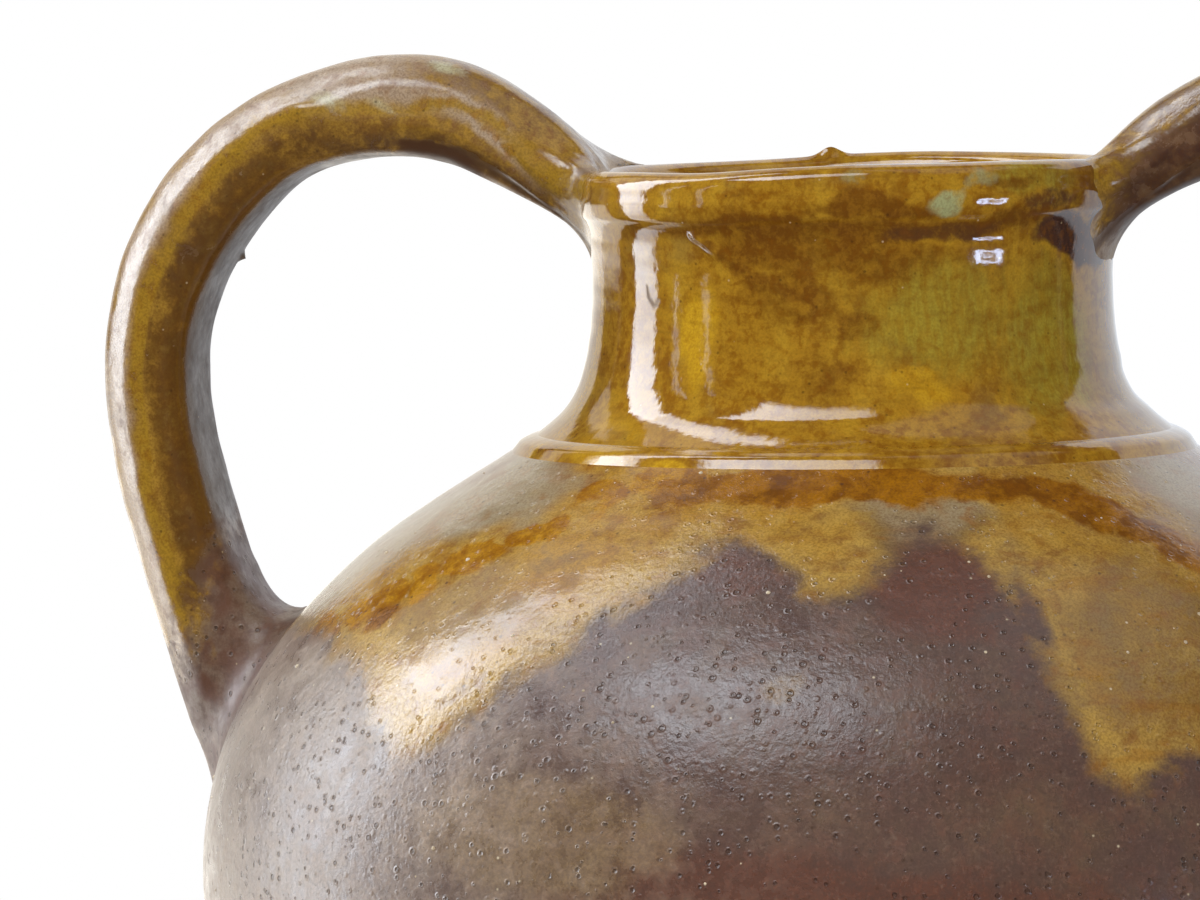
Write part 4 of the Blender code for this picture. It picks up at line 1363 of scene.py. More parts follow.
def handle_grid(facing, turned_about):
    """The whole handle as rings of points, with the way out of the wall at both ends."""
    rings = pressed(squeezed(blank, facing), facing)
    far_side = soft_step(-side_share * facing, 0.0, 0.6) * soft_step(out_share, -0.3, 0.3)
    joint_reach = by_face(0.016, 0.015, 0.010, 0.007) + 0.010 * far_side
    joint_spread = by_face(0.008, 0.014, 0.011, 0.007) + 0.020 * far_side
    upper = landed(rings[: MIDDLE_RING + 1][::-1], joint_reach, joint_spread, RIM_LIP)
    foot_reach = by_face(0.012, 0.010, 0.013, 0.021)
    foot_spread = by_face(0.021, 0.014, 0.013, 0.021)
    lower = landed(rings[MIDDLE_RING:], foot_reach, foot_spread)
    free = np.zeros((STRAP_ROWS, STRAP_POINTS, 3))
    for j in range(STRAP_POINTS):
        line = rings[:, j]
        run = run_along(line)
        wanted = np.linspace(run[MIDDLE_RING] - upper[1][j], run[MIDDLE_RING] + lower[1][j], STRAP_ROWS)
        free[:, j] = along_line(line, run, wanted)
    ends = []
    for start, (crossing, _, spot, far, out) in ((free[0], upper), (free[-1], lower)):
        rise = relief(far @ turned_about.T) - SINK
        ends.append(fillet(start, crossing, spot, far + out * rise[:, None]))
    return np.concatenate([ends[0][::-1], free, ends[1]]), upper[4], lower[4]


rows_total = STRAP_ROWS + 2 * FILLET_RINGS
NIB_ROW = 132  # a burr of clay under the left handle
along_share = np.clip((np.arange(rows_total) - FILLET_RINGS) / STRAP_ROWS, -0.05, 1.05)[:, None]
print("a handle has", rows_total, "rings of", STRAP_POINTS)

# %% [markdown]
# The strap's finish is darker than the collar's: the glaze has drained to the inner edge of the strap and
# left the outer edge thin and pale, with a painted highlight and sheen laid on it. At the foot the glaze
# stops and the brown skin shows.

# %% Handle finish
STRAP_HONEY, STRAP_BROWN, STRAP_GOLD = (0.300, 0.168, 0.024), (0.165, 0.086, 0.022), (0.290, 0.165, 0.016)
# on the next line the first colour is the thin pale glaze of the outer edge with a painted highlight, the
# second a painted sheen
PALE_GLAZE_AND_HIGHLIGHT, STRAP_PAINTED_SHEEN, UNDERSIDE = (0.330, 0.230, 0.140), (0.350, 0.262, 0.185), (0.070, 0.026, 0.008)
POOL_AMBER, POOL_DARK, POOL_GOLD = (0.130, 0.060, 0.010), (0.050, 0.020, 0.006), (0.210, 0.120, 0.018)
INNER_GREY, INNER_DARK = (0.122, 0.090, 0.056), (0.070, 0.050, 0.032)
FOOT_RED, FOOT_GREY, FOOT_DARK = (0.105, 0.046, 0.028), (0.160, 0.112, 0.082), (0.060, 0.026, 0.016)
PLUM, CRUST = (0.120, 0.062, 0.030), (0.400, 0.365, 0.235)
DULLER = {"edge": 0.08, "inner": 0.30, "brink": 0.30, "under": 0.35, "worn": 0.08, "satin": 0.35}
HANDLE_BUMP = 0.00009


def handle_finish():
    material, tree, shader, where = new_finish("drained_glaze_on_the_handles")
    soften, broken, times, mark = tree.soften, tree.broken, tree.times, tree.mark
    broad = tree.use(MOTTLE, where, Scale=70.0, Seed=6.0)
    fine = tree.use(MOTTLE, where, Scale=300.0, Seed=8.0)
    patchy = tree.use(MOTTLE, where, Scale=150.0, Seed=13.0)
    pits = tree.use(PITS, where, Scale=520.0, Share=0.35)
    specks = tree.use(SPECKS, where, Scale=760.0, Share=0.07)
    torn = times(tree.plus(broad["Cloud"], fine["Cloud"]), 0.5)
    rough_edge = tree.times_plus(torn, 1.9, -0.45)
    depth = tree.coats(
        POOL_AMBER,
        (soften(torn, 0.36, 0.66), POOL_DARK),
        (soften(fine["Cloud"], 0.48, 0.72, 0.0, 0.6), POOL_GOLD),
    )
    inner = tree.tint(soften(torn, 0.42, 0.60), INNER_GREY, INNER_DARK)
    thin = broken("thin", rough_edge, 0.55, 1.10, 0.7)
    skin = tree.coats(
        FOOT_RED,
        (soften(patchy["Cloud"], 0.38, 0.64), FOOT_GREY),
        (soften(fine["Cloud"], 0.46, 0.66, 0.0, 0.7), FOOT_DARK),
        (times(pits["Pit"], 0.7), PIT_DARK),
    )
    plum = tree.tint(soften(fine["Cloud"], 0.40, 0.64), AUBERGINE, PLUM)
    colour = tree.coats(
        STRAP_HONEY,
        (soften(torn, 0.42, 0.58), STRAP_BROWN),
        # thin pale glaze with a painted highlight along the outer front edge
        (broken("edge", torn, 0.52, 0.95, 0.6), PALE_GLAZE_AND_HIGHLIGHT),
        # painted sheen on the strap's crest, near the joint and under it
        (broken("worn", torn, 0.60, 1.00, 0.6), STRAP_PAINTED_SHEEN),
        (broken("gold", rough_edge, 0.60, 1.05, 0.6), STRAP_GOLD),
        (soften(fine["Cloud"], 0.48, 0.68, 0.0, 0.5), AMBER),
        (broken("pool", rough_edge, 0.55, 1.10, 0.7), depth),
        (broken("under", torn, 0.60, 1.00, 0.7), UNDERSIDE),
        (mark("inner"), inner),
        (thin, skin),
        (broken("dark", rough_edge, 0.52, 1.05, 0.6), plum),
        # pale glaze on the strap's top, partly a painted sheen
        (times(mark("brink"), 0.6), PALE_GLAZE_AND_HIGHLIGHT),
        (broken("celadon", torn, 0.62, 0.95), CRUST),
        (soften(fine["Grain"], 0.34, 0.62, 0.42, 0.0), UMBER),
        (times(specks["Dark"], 0.55), SUNK_DARK),
        (times(specks["Light"], 0.6), SUNK_LIGHT),
    )
    rough = tree.times_plus(soften(torn, 0.38, 0.62), 0.16, 0.10)
    for name, more in DULLER.items():
        rough = tree.times_plus(mark(name), more, rough)
    rough = tree.times_plus(thin, 0.28, rough)
    swell = times(tree.cloud(where, 260.0, 3.0, 0.5, 4.0), 2.2)
    height = tree.times_plus(fine["Grain"], 0.25, swell)
    height = tree.times_plus(times(pits["Height"], thin), 2.0, height)
    finish_with(tree, shader, colour, rough, height, HANDLE_BUMP)
    return material


HANDLE = handle_finish()
print("finish", HANDLE.name)

# %% [markdown]
# A handle is a grid: its rings go round the strap, its lines along it. A share along the strap (0 at the
# rim, 1 at the shoulder) and a share out of it (1 on the outer face) place every ridge and every mark.

# %% The hand's marks
LUMP_HEIGHT, NIB_HEIGHT, NIB_WIDTH = 0.0006, 0.0012, 0.0009
RIDGE_HEIGHT, SIDE_BULGE = 0.0006, 0.0023


def band(out, width):
    """A soft stripe along the strap."""
    return bell(out_share, out, width)[None, :]


def stretch(along, width):
    """A soft ring round the strap."""
    return bell(along_share, along, width)


def uneven(grid, turned_about, facing, front):
    """The hand's marks on the strap, and the burr under the left one."""
    world = grid @ turned_about.T
    free = soft_step(along_share, -0.02, 0.06) * (1 - soft_step(along_share, 0.9, 1.0))
    waves = 0.0005 * noise(world, 0.034, 31) + 0.00022 * noise(world, 0.012, 32)
    waves = waves + 0.00008 * noise(world, 0.005, 33)
    near_rim = soft_step(along_share, 0.0, 0.06) * (1 - soft_step(along_share, 0.16, 0.27))
    ridges = RIDGE_HEIGHT * (band(-0.34, 0.14) - band(0.15, 0.25) - band(-0.62, 0.14))
    lump = stretch(0.27, 0.022) * band(0.3, 0.35) * front
    nib_point = int(np.argmin(np.hypot(side_share * facing + 0.55, out_share + 0.80)))
    from_nib = np.linalg.norm(grid - grid[NIB_ROW, nib_point], axis=-1)
    nib = (facing > 0) * bell(from_nib, 0.0, NIB_WIDTH)
    return (waves + ridges * front * near_rim) * free + LUMP_HEIGHT * lump + NIB_HEIGHT * nib, nib


print("the lump is", LUMP_HEIGHT, "m high and the burr", NIB_HEIGHT)

# %% [markdown]
# The grid becomes a mesh of quads, and the painted values say where the glaze has pooled, run thin or
# gone dull, and where a sheen or a highlight is painted on.

# %% Mesh and paint of a handle
def handle_mesh(name, world, hubs):
    """Quads between the rings, and a fan over each end."""
    count = rows_total * STRAP_POINTS
    index = np.arange(count).reshape(rows_total, STRAP_POINTS)
    after = np.roll(index, -1, axis=1)
    quads = np.stack([index[:-1], after[:-1], after[1:], index[1:]], axis=-1).reshape(-1, 4)
    faces = [tuple(q) for q in quads.tolist()]
    for row, hub in ((0, count), (rows_total - 1, count + 1)):
        ring = index[row].tolist()
        faces += [(a, hub, b) if row == 0 else (b, hub, a) for a, b in zip(ring, ring[1:] + ring[:1])]
    mesh = bpy.data.meshes.new(name)
    mesh.from_pydata(np.vstack([world.reshape(-1, 3), hubs]).tolist(), [], faces)
    if signed_volume(mesh) < 0:
        mesh.flip_normals()
    mesh.materials.append(HANDLE)
    mesh.shade_smooth()
    return mesh


def paint_handle(mesh, world, facing, front, nib):
    """The painted values of a strap, by its shares along and out."""
    drift = 0.30 * ragged(world, 0.016, 35) + 0.15 * ragged(world, 0.006, 36)
    across = out_share[None, :] + drift
    before_foot = 1 - soft_step(along_share + 0.05 * drift, 0.88, 1.0)
    by_joint = 1 - soft_step(along_share + 0.05 * drift, 0.12, 0.18)
    past_joint = soft_step(along_share, 0.10, 0.16)
    past_bend, past_crest = soft_step(along_share, 0.20, 0.27), soft_step(along_share, 0.2, 0.4)

    def underneath(low, high):
        return soft_step(-out_share, low, high)[None, :]

    pool = soft_step(-across, -0.30, 0.60) * before_foot * (1 - 0.6 * stretch(0.26, 0.10)) * (1 - by_joint)
    # painted sheen: pale on the crest, in a band near the joint and under the joint, where the strap catches
    # the light
    worn = stretch(0.22, 0.12) * soft_step(across, -0.3, 0.4) * 0.85
    worn = worn + 1.2 * stretch(0.07, 0.06) * bell(across, 0.10, 0.3)
    dark = (1 - soft_step(along_share + 0.15 * drift, 0.08, 0.34)) * soft_step(along_share, -0.08, 0.03)
    crust = 0.8 * stretch(0.235, 0.022) * band(0.3, 0.3) + stretch(0.11, 0.020) * band(0.85, 0.12)
    crust = crust + 0.7 * stretch(0.19, 0.014) * band(0.1, 0.2)
    for label, values in {
        "pool": np.maximum(pool, by_joint * front * band(-0.56, 0.16)),
        "satin": by_joint * underneath(0.42, 0.60),
        "gold": bell(across, 0.12, 0.20) * before_foot,
        # edge: thin pale glaze along the outer front edge, with a painted highlight on it
        "edge": bell(across, 0.62, 0.25) * past_crest,
        "worn": worn + by_joint * underneath(0.66, 0.86) * (0.2 + 0.8 * front),
        # brink: pale glaze and painted sheen on the strap's top
        "brink": soft_step(out_share, 0.86, 0.96)[None, :] * past_crest * before_foot,
        "inner": underneath(0.72, 0.86) * past_bend * before_foot,
        "under": np.maximum(underneath(0.45, 0.65) * past_joint * (1 - past_bend), nib),
        "thin": soft_step(along_share + 0.16 * drift, 0.86, 1.0),
        "dark": (facing < 0) * dark * (0.55 + 0.45 * soft_step(-across, -0.5, 0.1)),
        "celadon": crust * front,
    }.items():
        whole = np.broadcast_to(values, (rows_total, STRAP_POINTS)).ravel()
        put_values(mesh, label, np.r_[whole, np.zeros(2)])


print("a handle has", (rows_total - 1) * STRAP_POINTS, "quads")

# %% [markdown]
# Near its ends a handle takes over the wall's normals, so that no edge shows where it lands.

# %% Dressing each handle
HUB_DEPTH = 0.003  # the fans that close the two ends meet this deep in the wall


def build_handle(name, half_turn, facing):
    """Shapes a strap, lands it on its side of the pitcher and paints it."""
    cosine, sine = math.cos(half_turn), math.sin(half_turn)
    turned_about = np.array([[cosine, -sine, 0], [sine, cosine, 0], [0, 0, 1]])
    grid, rim_out, wall_out = handle_grid(facing, turned_about)
    bulge = soft_step(along_share, 0.48, 0.82) * (1 - soft_step(along_share, 0.97, 1.05))
    grid[..., 0] += SIDE_BULGE * bulge
    front = soft_step(side_share * facing, -0.2, 0.5)[None, :]
    rise, nib = uneven(grid, turned_about, facing, front)
    grid = grid + grid_normals(grid) * rise[..., None]
    normal = grid_normals(grid)
    last = rows_total - 1
    for out, first, step in ((rim_out, 0, 1), (wall_out, last, -1)):
        for ring in range(FILLET_RINGS):
            row = first + step * ring
            share = soft_step(1 - ring / FILLET_RINGS, 0.45, 0.95)
            normal[row] = normal[row] * (1 - share) + out * share
    world = grid @ turned_about.T
    normal = normal @ turned_about.T
    normal /= np.linalg.norm(normal, axis=-1)[..., None]
    ends = ((0, rim_out), (last, wall_out))
    hubs = [world[row].mean(axis=0) - out.mean(axis=0) @ turned_about.T * HUB_DEPTH for row, out in ends]
    mesh = handle_mesh(name, world, hubs)
    paint_handle(mesh, world, facing, front, nib)
    points = coordinates(mesh)
    by_rim = soft_step(-radius_of(points), -0.085, -0.060)
    points[:, 2] += rim_warp(points) * by_rim
    mesh.vertices.foreach_set("co", points.ravel())
    normals = np.vstack([normal.reshape(-1, 3), np.zeros((2, 3))])
    mesh.normals_split_custom_set_from_vertices(normals.tolist())
    mesh.update()
    print(name, len(mesh.polygons), "faces")
    return link(bpy.data.objects.new(name, mesh))


right_handle = build_handle("right_pulled_handle", 0.0, -1.0)
left_handle = build_handle("left_pulled_handle", math.pi, 1.0)

# %% [markdown]
# ## Cordon and base
# The cordon is a low coil over the joint of neck and shoulder. The base is a beaten disc of bare clay.

# %% Cordon and base
CORDON_WIDTH, CORDON_PROUD, CORDON_SINK, CORDON_BACK = 0.0076, 0.0010, 0.00015, 0.0006
CREST = -0.2  # the coil is pressed down from above, so its crest lies low
across_coil = np.linspace(1, -1, 17)[:, None]
coil_skin = neck_root + cone * across_coil * CORDON_WIDTH / 2
over_crest = 1 - ((across_coil - CREST) / (1 - CREST)) ** 2
coil_rise = np.where(across_coil > CREST, over_crest, (1 + across_coil) / (1 + CREST))
coil_skin = coil_skin + cone_normal * (CORDON_PROUD * coil_rise - CORDON_SINK)
coil_back = coil_skin[::-4] - cone_normal * CORDON_BACK
cordon = turned("pressed_cordon", coil_skin, outline_normals(coil_skin), coil_back[1:-1], COLLAR)
edge_turn = np.linspace(0, math.pi / 2, 9)
edge_radius = BASE_RADIUS - BASE_EDGE + BASE_EDGE * np.cos(edge_turn)
base_skin = np.vstack([belly_foot, np.c_[edge_radius, BASE_EDGE - BASE_EDGE * np.sin(edge_turn)]])
underside = [at(radius, 0.0) for radius in (0.055, 0.035, 0.015, 0.0)]
underside = np.array(underside + [at(0.0, BASE_THICKNESS), at(0.04, BASE_THICKNESS)])
base = turned("beaten_base", base_skin, outline_normals(base_skin), underside, BARE_CLAY)

# %% [markdown]
# ## Blisters and grit
# On the bare skin the glaze's gas burst through in little craters, and grains of white grit stick out.
# One node tree scatters both: it takes the finished wall, a density painted on it and the thing to set down.

# %% The scatter tree
CRATER_SIDES, GRAIN_SIDES = 8, 6
CRATER_STEPS = [  # radius, height and darkness of each ring, from the lip to the middle
    (1.0, -0.10, 0.0), (0.74, 0.08, 0.0), (0.50, 0.14, 0.1), (0.32, 0.05, 0.9), (0.14, -0.02, 1.0),
]
CRATER_MIDDLE, GRAIN_TOP = (0.0, 0.0, -0.03), (0.05, 0.0, 0.58)
GRIT_WHITE, GRIT_TAN, GRIT_BUMP = (0.55, 0.46, 0.33), (0.32, 0.24, 0.15), 0.0001
INSIDE_DEPTH = 0.003  # points this far inside the outline belong to the wall's inner face


def scatter_tree():
    sockets = {"Thing": "Object", "Density": "Float", "Least Size": "Float", "Largest Size": "Float"}
    tree, given = new_tree("scatter_on_the_wall", {**sockets, "Seed": "Int", "Material": "Material"})
    share = tree.node("GeometryNodeInputNamedAttribute", {"Name": "spots"}, data_type="FLOAT").outputs[0]
    density = tree.times(share, given["Density"])
    wall = {"Mesh": given["Geometry"], "Density": density, "Seed": given["Seed"]}
    points = tree.node("GeometryNodeDistributePointsOnFaces", wall).outputs
    luck = tree.node("FunctionNodeRandomValue", {"Seed": given["Seed"]}, data_type="FLOAT").outputs[1]
    span = tree.minus(given["Largest Size"], given["Least Size"])
    size = tree.times_plus(tree.maths("POWER", luck, 2.0), span, given["Least Size"])
    thing = tree.node("GeometryNodeObjectInfo", {"Object": given["Thing"]}).outputs["Geometry"]
    placed = {"Points": points["Points"], "Instance": thing, "Rotation": points["Rotation"], "Scale": size}
    set_down = tree.node("GeometryNodeInstanceOnPoints", placed)
    return close_tree(tree, set_down.outputs[0], given["Material"])


SCATTER = scatter_tree()


def ring_of(radius, height, count):
    turn = np.arange(count) * 2 * math.pi / count
    return [(radius * math.cos(t), radius * math.sin(t), height) for t in turn]


def stacked_faces(rings, count):
    """Quads between rings, and a fan from the last ring to the point after it."""
    sides = [(i, (i + 1) % count) for i in range(count)]
    faces = [
        (k * count + a, k * count + b, k * count + count + b, k * count + count + a)
        for k in range(rings - 1)
        for a, b in sides
    ]
    top = (rings - 1) * count
    return faces + [(top + a, top + b, top + count) for a, b in sides]


def crater_object():
    """A burst blister of unit radius: a low ring round a sunken middle."""
    points = [p for radius, height, _ in CRATER_STEPS for p in ring_of(radius, height, CRATER_SIDES)]
    pits = [pit for _, _, pit in CRATER_STEPS for _ in range(CRATER_SIDES)] + [1.0]
    mesh = bpy.data.meshes.new("burst_blister")
    mesh.from_pydata(points + [CRATER_MIDDLE], [], stacked_faces(len(CRATER_STEPS), CRATER_SIDES))
    mesh.shade_smooth()
    put_values(mesh, "pit", pits)
    return link(bpy.data.objects.new("burst_blister", mesh))


def grit_object():
    """A grain of unit size, flattened where it sits."""
    mesh = bpy.data.meshes.new("grain_of_grit")
    points = ring_of(1.0, 0.0, GRAIN_SIDES) + ring_of(0.62, 0.42, GRAIN_SIDES)
    bottom = tuple(range(GRAIN_SIDES))[::-1]
    mesh.from_pydata(points + [GRAIN_TOP], [], stacked_faces(2, GRAIN_SIDES) + [bottom])
    return link(bpy.data.objects.new("grain_of_grit", mesh))


def grit_finish():
    material, tree, shader, where = new_finish("white_grit")
    broad = tree.use(MOTTLE, where, Scale=200.0, Seed=9.0)
    colour = tree.tint(tree.soften(broad["Cloud"], 0.35, 0.7), GRIT_WHITE, GRIT_TAN)
    rough = tree.soften(broad["Grain"], 0.2, 0.8, 0.35, 0.6)
    finish_with(tree, shader, colour, rough, broad["Grain"], GRIT_BUMP)
    return material


crater, grain = crater_object(), grit_object()
GRIT = grit_finish()
print("scatter tree has", len(SCATTER.raw.nodes), "nodes; a blister has", len(crater.data.polygons), "faces")

# %% [markdown]
# The densities are painted with the same soft spots as the marks: blisters crowd where the skin is bare,
# pimples where it is sandy, and grit lies everywhere.

# %% Scattering
BLISTER_SPOTS = [
    (-12, 205, 22, 22, 1.0), (-30, 196, 16, 18, 0.6), (160, 200, 40, 25, 0.8), (70, 195, 30, 20, 0.6),
]
SANDY_SPOTS = [
    (-42, 178, 26, 26, 1.0), (-22, 200, 20, 16, 0.6), (140, 180, 60, 40, 0.7), (230, 180, 40, 40, 0.6),
]


def scattered(name, wall, thing, finish, density_of, density, sizes, seed):
    """Sets a thing down all over a wall's outer face, by a painted density."""
    carrier = wall.data.copy()
    carrier.name = name + "_carrier"
    points = coordinates(carrier)
    values = density_of(points)
    radius = radius_of(points)
    rising = whole_skin[::-1]
    values[np.interp(points[:, 2], rising[:, 1], rising[:, 0]) - radius > INSIDE_DEPTH] = 0
    put_values(carrier, "spots", values)
    made = grown(
        bpy.data.objects.new(name + "_carrier", carrier),
        name,
        SCATTER,
        {
            "Thing": thing,
            "Density": density,
            "Least Size": sizes[0],
            "Largest Size": sizes[1],
            "Seed": seed,
            "Material": finish,
        },
    )
    paint(made.data, coordinates(made.data))
    print(name, len(made.data.polygons), "faces")
    return made


def above_the_foot(points):
    return soft_step(points[:, 2], 0.03, 0.12)


def blister_density(points):
    bare = 1 - soft_step(glaze_run(points), -2.0, 4.0)
    clumps = 0.4 + 0.6 * soft_step(noise(points, 0.02, 41), -0.4, 0.5)
    return (0.05 + blots(points, BLISTER_SPOTS)) * (0.15 + bare) * above_the_foot(points) * clumps


def pimple_density(points):
    bare = 1 - soft_step(glaze_run(points), -4.0, 3.0)
    return (0.06 + blots(points, SANDY_SPOTS)) * bare * above_the_foot(points)


def grit_density(points):
    return np.full(len(points), 0.5) + 0.5 * noise(points, 0.03, 43)


PIMPLE_SIZES = (0.00022, 0.00060)
blisters = [
    scattered("shoulder_blisters", shoulder, crater, BODY, blister_density, 22000.0, (0.0004, 0.0011), 3),
    scattered("belly_blisters", belly, crater, BODY, blister_density, 16000.0, (0.0004, 0.0010), 4),
    scattered("shoulder_pimples", shoulder, crater, BODY, pimple_density, 60000.0, PIMPLE_SIZES, 7),
    scattered("belly_pimples", belly, crater, BODY, pimple_density, 60000.0, PIMPLE_SIZES, 8),
]
grains = [
    scattered("shoulder_grit", shoulder, grain, GRIT, grit_density, 3500.0, (0.00018, 0.00055), 5),
    scattered("belly_grit", belly, grain, GRIT, grit_density, 2500.0, (0.00018, 0.00060), 6),
]
for thing in (crater, grain):
    bpy.data.objects.remove(thing)

# %% [markdown]
# ## Light
# The pitcher stands in a white room: a white backdrop behind it, a tall strip of light at the left, a soft
# panel overhead and a small cool window at the right. Glossy glaze shows these as its highlights, so they
# are drawn in the world by direction. Large lamps that glaze doesn't mirror fill in the colours.

# %% Words for the world
DEGREES = 180 / math.pi


class Sky(ShaderTree):
    """The world's node tree. Panels of light lie at bearings and rises in degrees.

    Overhead, a place is where a ray meets a ceiling at height 1.
    """

    def __init__(self, raw):
        super().__init__(raw)
        ray = self.node("ShaderNodeTexCoord").outputs["Generated"]
        front, right, up = (
            self.node("ShaderNodeVectorMath", {0: ray, 1: way}, operation="DOT_PRODUCT").outputs["Value"]
            for way in (TO_EYE, TO_RIGHT, UP)
        )
        self.bearing = self.times(self.maths("ARCTAN2", right, front), DEGREES)
        self.rise = self.times(self.maths("ARCSINE", up), DEGREES)
        self.over_right, self.over_front = self.over(right, up), self.over(front, up)
        self.above = self.soften(up, 0.45, 0.60)

    def until(self, value, low, high):
        return self.soften(value, low, high, 1.0, 0.0)

    def between(self, value, low, high, soft):
        begun = self.soften(value, low - soft, low + soft)
        return self.times(begun, self.until(value, high - soft, high + soft))

    def panel(self, bearings, rises, soft):
        return self.times(self.between(self.bearing, *bearings, soft), self.between(self.rise, *rises, soft))

    def past_line(self, slope, start):
        """How far a place on the ceiling lies in front of a slanted line."""
        return self.minus(self.over_front, self.times_plus(self.over_right, slope, start))

    def lit(self, *parts):
        """Adds up masks, each times its strength."""
        total = self.times(*parts[0])
        for part in parts[1:]:
            total = self.plus(total, self.times(*part))
        return total


studio = bpy.data.worlds.new("white_studio")
bpy.context.scene.world = studio
studio.use_nodes = True
studio.node_tree.nodes.clear()
SKY = Sky(studio.node_tree)
print("words for the world:", [word for word in vars(Sky) if not word.startswith("_")])

# %% [markdown]
# Warm white comes from the backdrop behind the left handle, the side wall and the table.

# %% Warm panels
def warm_panels(sky):
    soften, until, times, minus = sky.soften, sky.until, sky.times, sky.minus
    bearing, rise = sky.bearing, sky.rise
    left_edge = minus(soften(rise, 6, 26, -143, -158), bearing)
    behind_left = times(soften(left_edge, -1.2, 1.2), until(rise, 54, 60), soften(rise, 8, 30, 0.95, 0.75))
    wall_edge = minus(bearing, soften(rise, 6, 26, -121, -149))
    side_wall = times(soften(wall_edge, -1.2, 1.2), until(bearing, -121, -117), sky.between(rise, 8, 62, 3))
    table = times(sky.between(rise, -50, -3, 3), until(bearing, -108, -96))
    return sky.lit((behind_left, 1.0), (side_wall, 0.85), (table, 1.5))


warm_white = warm_panels(SKY)
print("with warm panels the world has", len(SKY.raw.nodes), "nodes")

# %% [markdown]
# Cool white comes from the tall key light, which bends over at its top, from the ceiling, from two narrow
# slits and from the backdrop behind the right handle.

# %% Cool panels
def key_light(sky):
    """The tall strip at the left, and its bend overhead."""
    soften, until, times, bearing, rise = sky.soften, sky.until, sky.times, sky.bearing, sky.rise
    top = times(
        sky.between(sky.over_right, -1.10, -0.22, 0.03),
        soften(sky.past_line(0.52, -0.15), -0.02, 0.02),
        until(sky.past_line(0.11, -0.167), -0.03, 0.05),
        times(sky.above, 0.65),
    )
    edge = sky.minus(bearing, soften(rise, 20, 46, -98, -106))
    low = times(
        sky.between(rise, -28, 44, 1.5),
        soften(bearing, -122, -120),
        until(edge, -1.0, 1.0),
        soften(rise, -16, -3, 0.35, 1.0),
        soften(rise, 0, 14, 0.72, 1.0),
    )
    return sky.maths("MAXIMUM", low, top)


def cool_panels(sky):
    soften, until, times, bearing, rise = sky.soften, sky.until, sky.times, sky.bearing, sky.rise
    right_edge = sky.minus(rise, soften(bearing, 140, 180, 40, 58))
    behind_right = times(soften(bearing, 113, 117), until(right_edge, -2, 3))
    overhead = times(soften(rise, 46, 54), soften(bearing, 30, 70), until(bearing, 125, 145))
    ceiling = times(
        soften(sky.past_line(0.42, 0.32), -0.02, 0.03),
        sky.between(sky.over_right, -0.66, 0.09, 0.04),
        until(sky.over_front, 0.55, 0.72),
        sky.above,
        soften(sky.over_right, -0.6, 0.0, 1.6, 0.8),
    )
    return sky.lit(
        (behind_right, 1.0),
        (overhead, 0.4),
        (key_light(sky), 8.0),
        (ceiling, 4.6),
        (sky.panel((-86, -84), (-4, 34), 0.7), 2.2),
        (sky.panel((-69.5, -67.5), (-4, 34), 0.7), 1.8),
    )


cool_white = cool_panels(SKY)
print("with cool panels the world has", len(SKY.raw.nodes), "nodes")

# %% [markdown]
# The two whites are mixed with a faint glow of the room and the blue window. Straight ahead, the camera sees
# plain white.

# %% World
COOL_SHARES, WARM_SHARES = (0.93, 1.0, 1.09), (1.0, 0.96, 0.88)  # red, green and blue of each white
ROOM_GLOW = 0.03
COOL_WINDOW = (12.0, 14.5, 20.0)
WHITE = (1.0, 1.0, 1.0)


def light_the_room(sky):
    pane = sky.panel((58.0, 67.0), (-13.0, -10.4), 0.5)
    window = sky.times_plus(pane, -0.95, sky.panel((56, 69), (-14, -9.4), 0.5))
    mixed = [sky.lit((cool_white, c), (warm_white, w)) for c, w in zip(COOL_SHARES, WARM_SHARES)]
    channels = {k: sky.plus(mixed[k], ROOM_GLOW) for k in range(3)}
    daylight = sky.node("ShaderNodeCombineColor", channels).outputs[0]
    lights = sky.tint(window, daylight, COOL_WINDOW)
    camera_ray = sky.node("ShaderNodeLightPath").outputs["Is Camera Ray"]
    glow = sky.node("ShaderNodeBackground", {"Color": sky.tint(camera_ray, lights, WHITE), "Strength": 1.0})
    sky.feed(glow.outputs[0], sky.node("ShaderNodeOutputWorld").inputs[0])


light_the_room(SKY)
print("world", studio.name, "has", len(SKY.raw.nodes), "nodes")

# %% [markdown]
# The fill lamps are large discs that aim at the pitcher's middle. They are hidden from mirror-like rays,
# so they light the colours and leave no highlight.

# %% Fill lamps
LAMP_AIM = 0.2  # the height that every lamp aims at
LAMP_COLOUR = (1.0, 0.97, 0.90)


def fill_lamp(name, bearing, rise, distance, size, power):
    """A large soft lamp that lights the colours but isn't mirrored in the glaze."""
    data = bpy.data.lights.new(name, "AREA")
    data.shape = "DISK"
    data.size = size
    data.energy = power
    data.color = LAMP_COLOUR
    lamp = bpy.data.objects.new(name, data)
    flat = distance * math.cos(math.radians(rise))
    spot = Vector(place(bearing, flat, LAMP_AIM + distance * math.sin(math.radians(rise))))
    turn = (Vector((0, 0, LAMP_AIM)) - spot).to_track_quat("-Z", "Y").to_matrix().to_4x4()
    lamp.matrix_world = Matrix.Translation(spot) @ turn
    lamp.visible_camera = False
    lamp.visible_glossy = False
    return link(lamp)


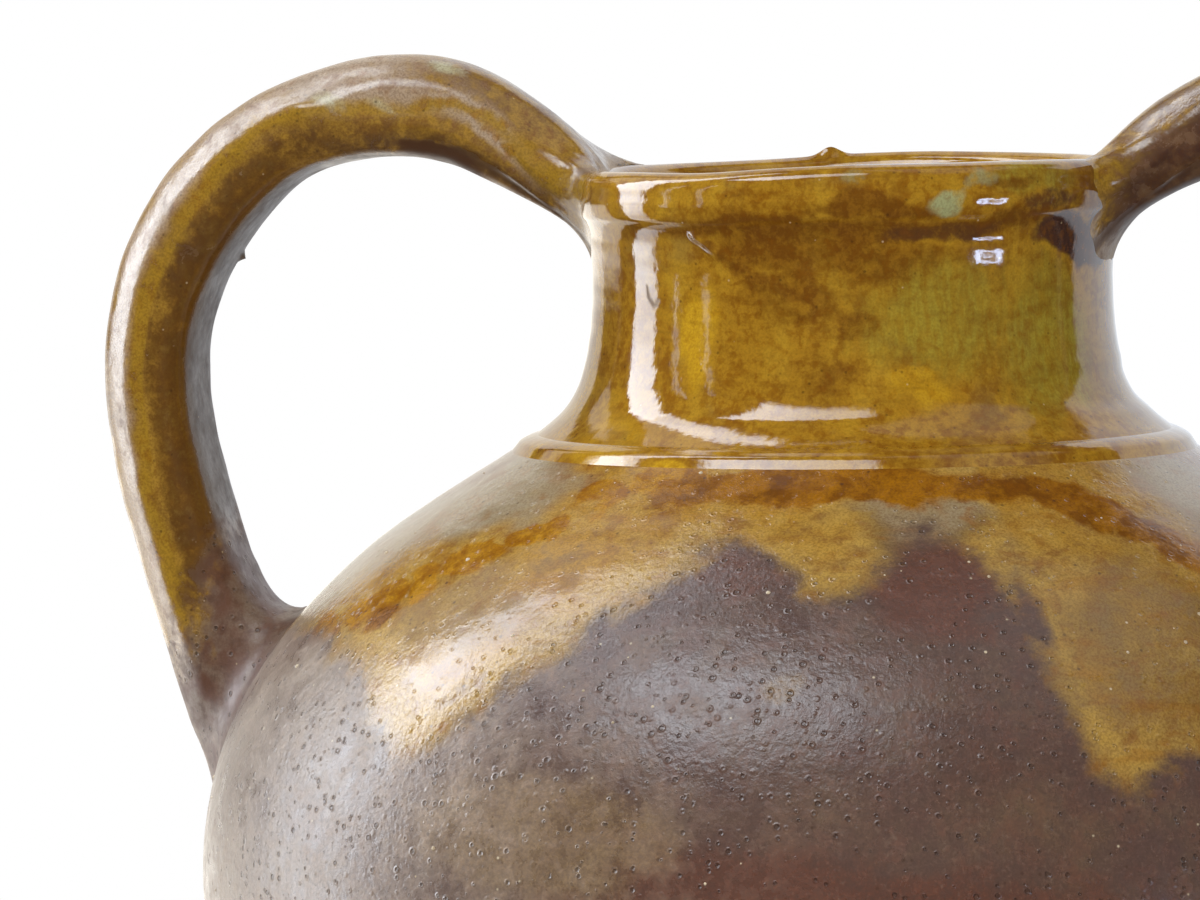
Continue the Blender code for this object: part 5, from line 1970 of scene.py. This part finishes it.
for lamp_values in (
    ("front_fill", -8, 22, 2.2, 2.2, 42.0),
    ("right_fill", 70, 20, 2.2, 2.2, 9.0),
    ("top_fill", -60, 75, 2.0, 2.0, 6.0),
    ("rear_fill", 170, 30, 2.2, 2.2, 26.0),
):
    print("lamp", fill_lamp(*lamp_values).name)

# %% [markdown]
# ## Floor
# The pitcher stands on a pale floor, which fades into the white of the room.

# %% Floor
FLOOR_RADIUS, FLOOR_SIDES, FLOOR_HEIGHT = 1.1, 96, -0.0002
FLOOR_COLOUR = (0.86, 0.86, 0.85, 1.0)


def floor():
    mesh = bpy.data.meshes.new("floor")
    mesh.from_pydata(ring_of(FLOOR_RADIUS, FLOOR_HEIGHT, FLOOR_SIDES), [], [tuple(range(FLOOR_SIDES))])
    material, tree, shader, where = new_finish("pale_floor")
    spread = tree.node("ShaderNodeVectorMath", {0: where}, operation="LENGTH").outputs["Value"]
    shader.inputs["Base Color"].default_value = FLOOR_COLOUR
    shader.inputs["Roughness"].default_value = 0.9
    shader.inputs["Specular IOR Level"].default_value = 0.0
    tree.feed(tree.soften(spread, 0.35, 1.0, 1.0, 0.0), shader.inputs["Alpha"])
    mesh.materials.append(material)
    return link(bpy.data.objects.new("floor", mesh))


pale_floor = floor()
pale_floor.visible_glossy = False
print("floor", pale_floor.dimensions[:])

# %% [markdown]
# ## Riding on the body
# Every piece rides on the one body of the pitcher and hides the CAD nodes that it stands for. Each row also
# names a material slot.

# %% Ride and replace
for piece, nodes, slot in (
    (base, ["base_disc"], "bare_clay"),
    (belly, ["belly_bowl"], "brown_skin"),
    (shoulder, ["shoulder"], "ochre_glaze"),
    (neck, ["neck_collar"], "olive_glaze"),
    (cordon, ["neck_cordon"], "amber_glaze"),
    (rim, ["rim_roll"], "amber_glaze"),
    (left_handle, ["left_handle", "left_upper_wad", "left_lower_wad"], "brown_glaze"),
    (right_handle, ["right_handle", "right_upper_wad", "right_lower_wad"], "brown_glaze"),
    *((sheet, [], "brown_skin") for sheet in blisters),
    *((sheet, [], "bare_clay") for sheet in grains),
):
    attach(piece, "root")
    if nodes:
        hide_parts(*nodes)

bpy.context.scene.view_settings.view_transform = "Standard"
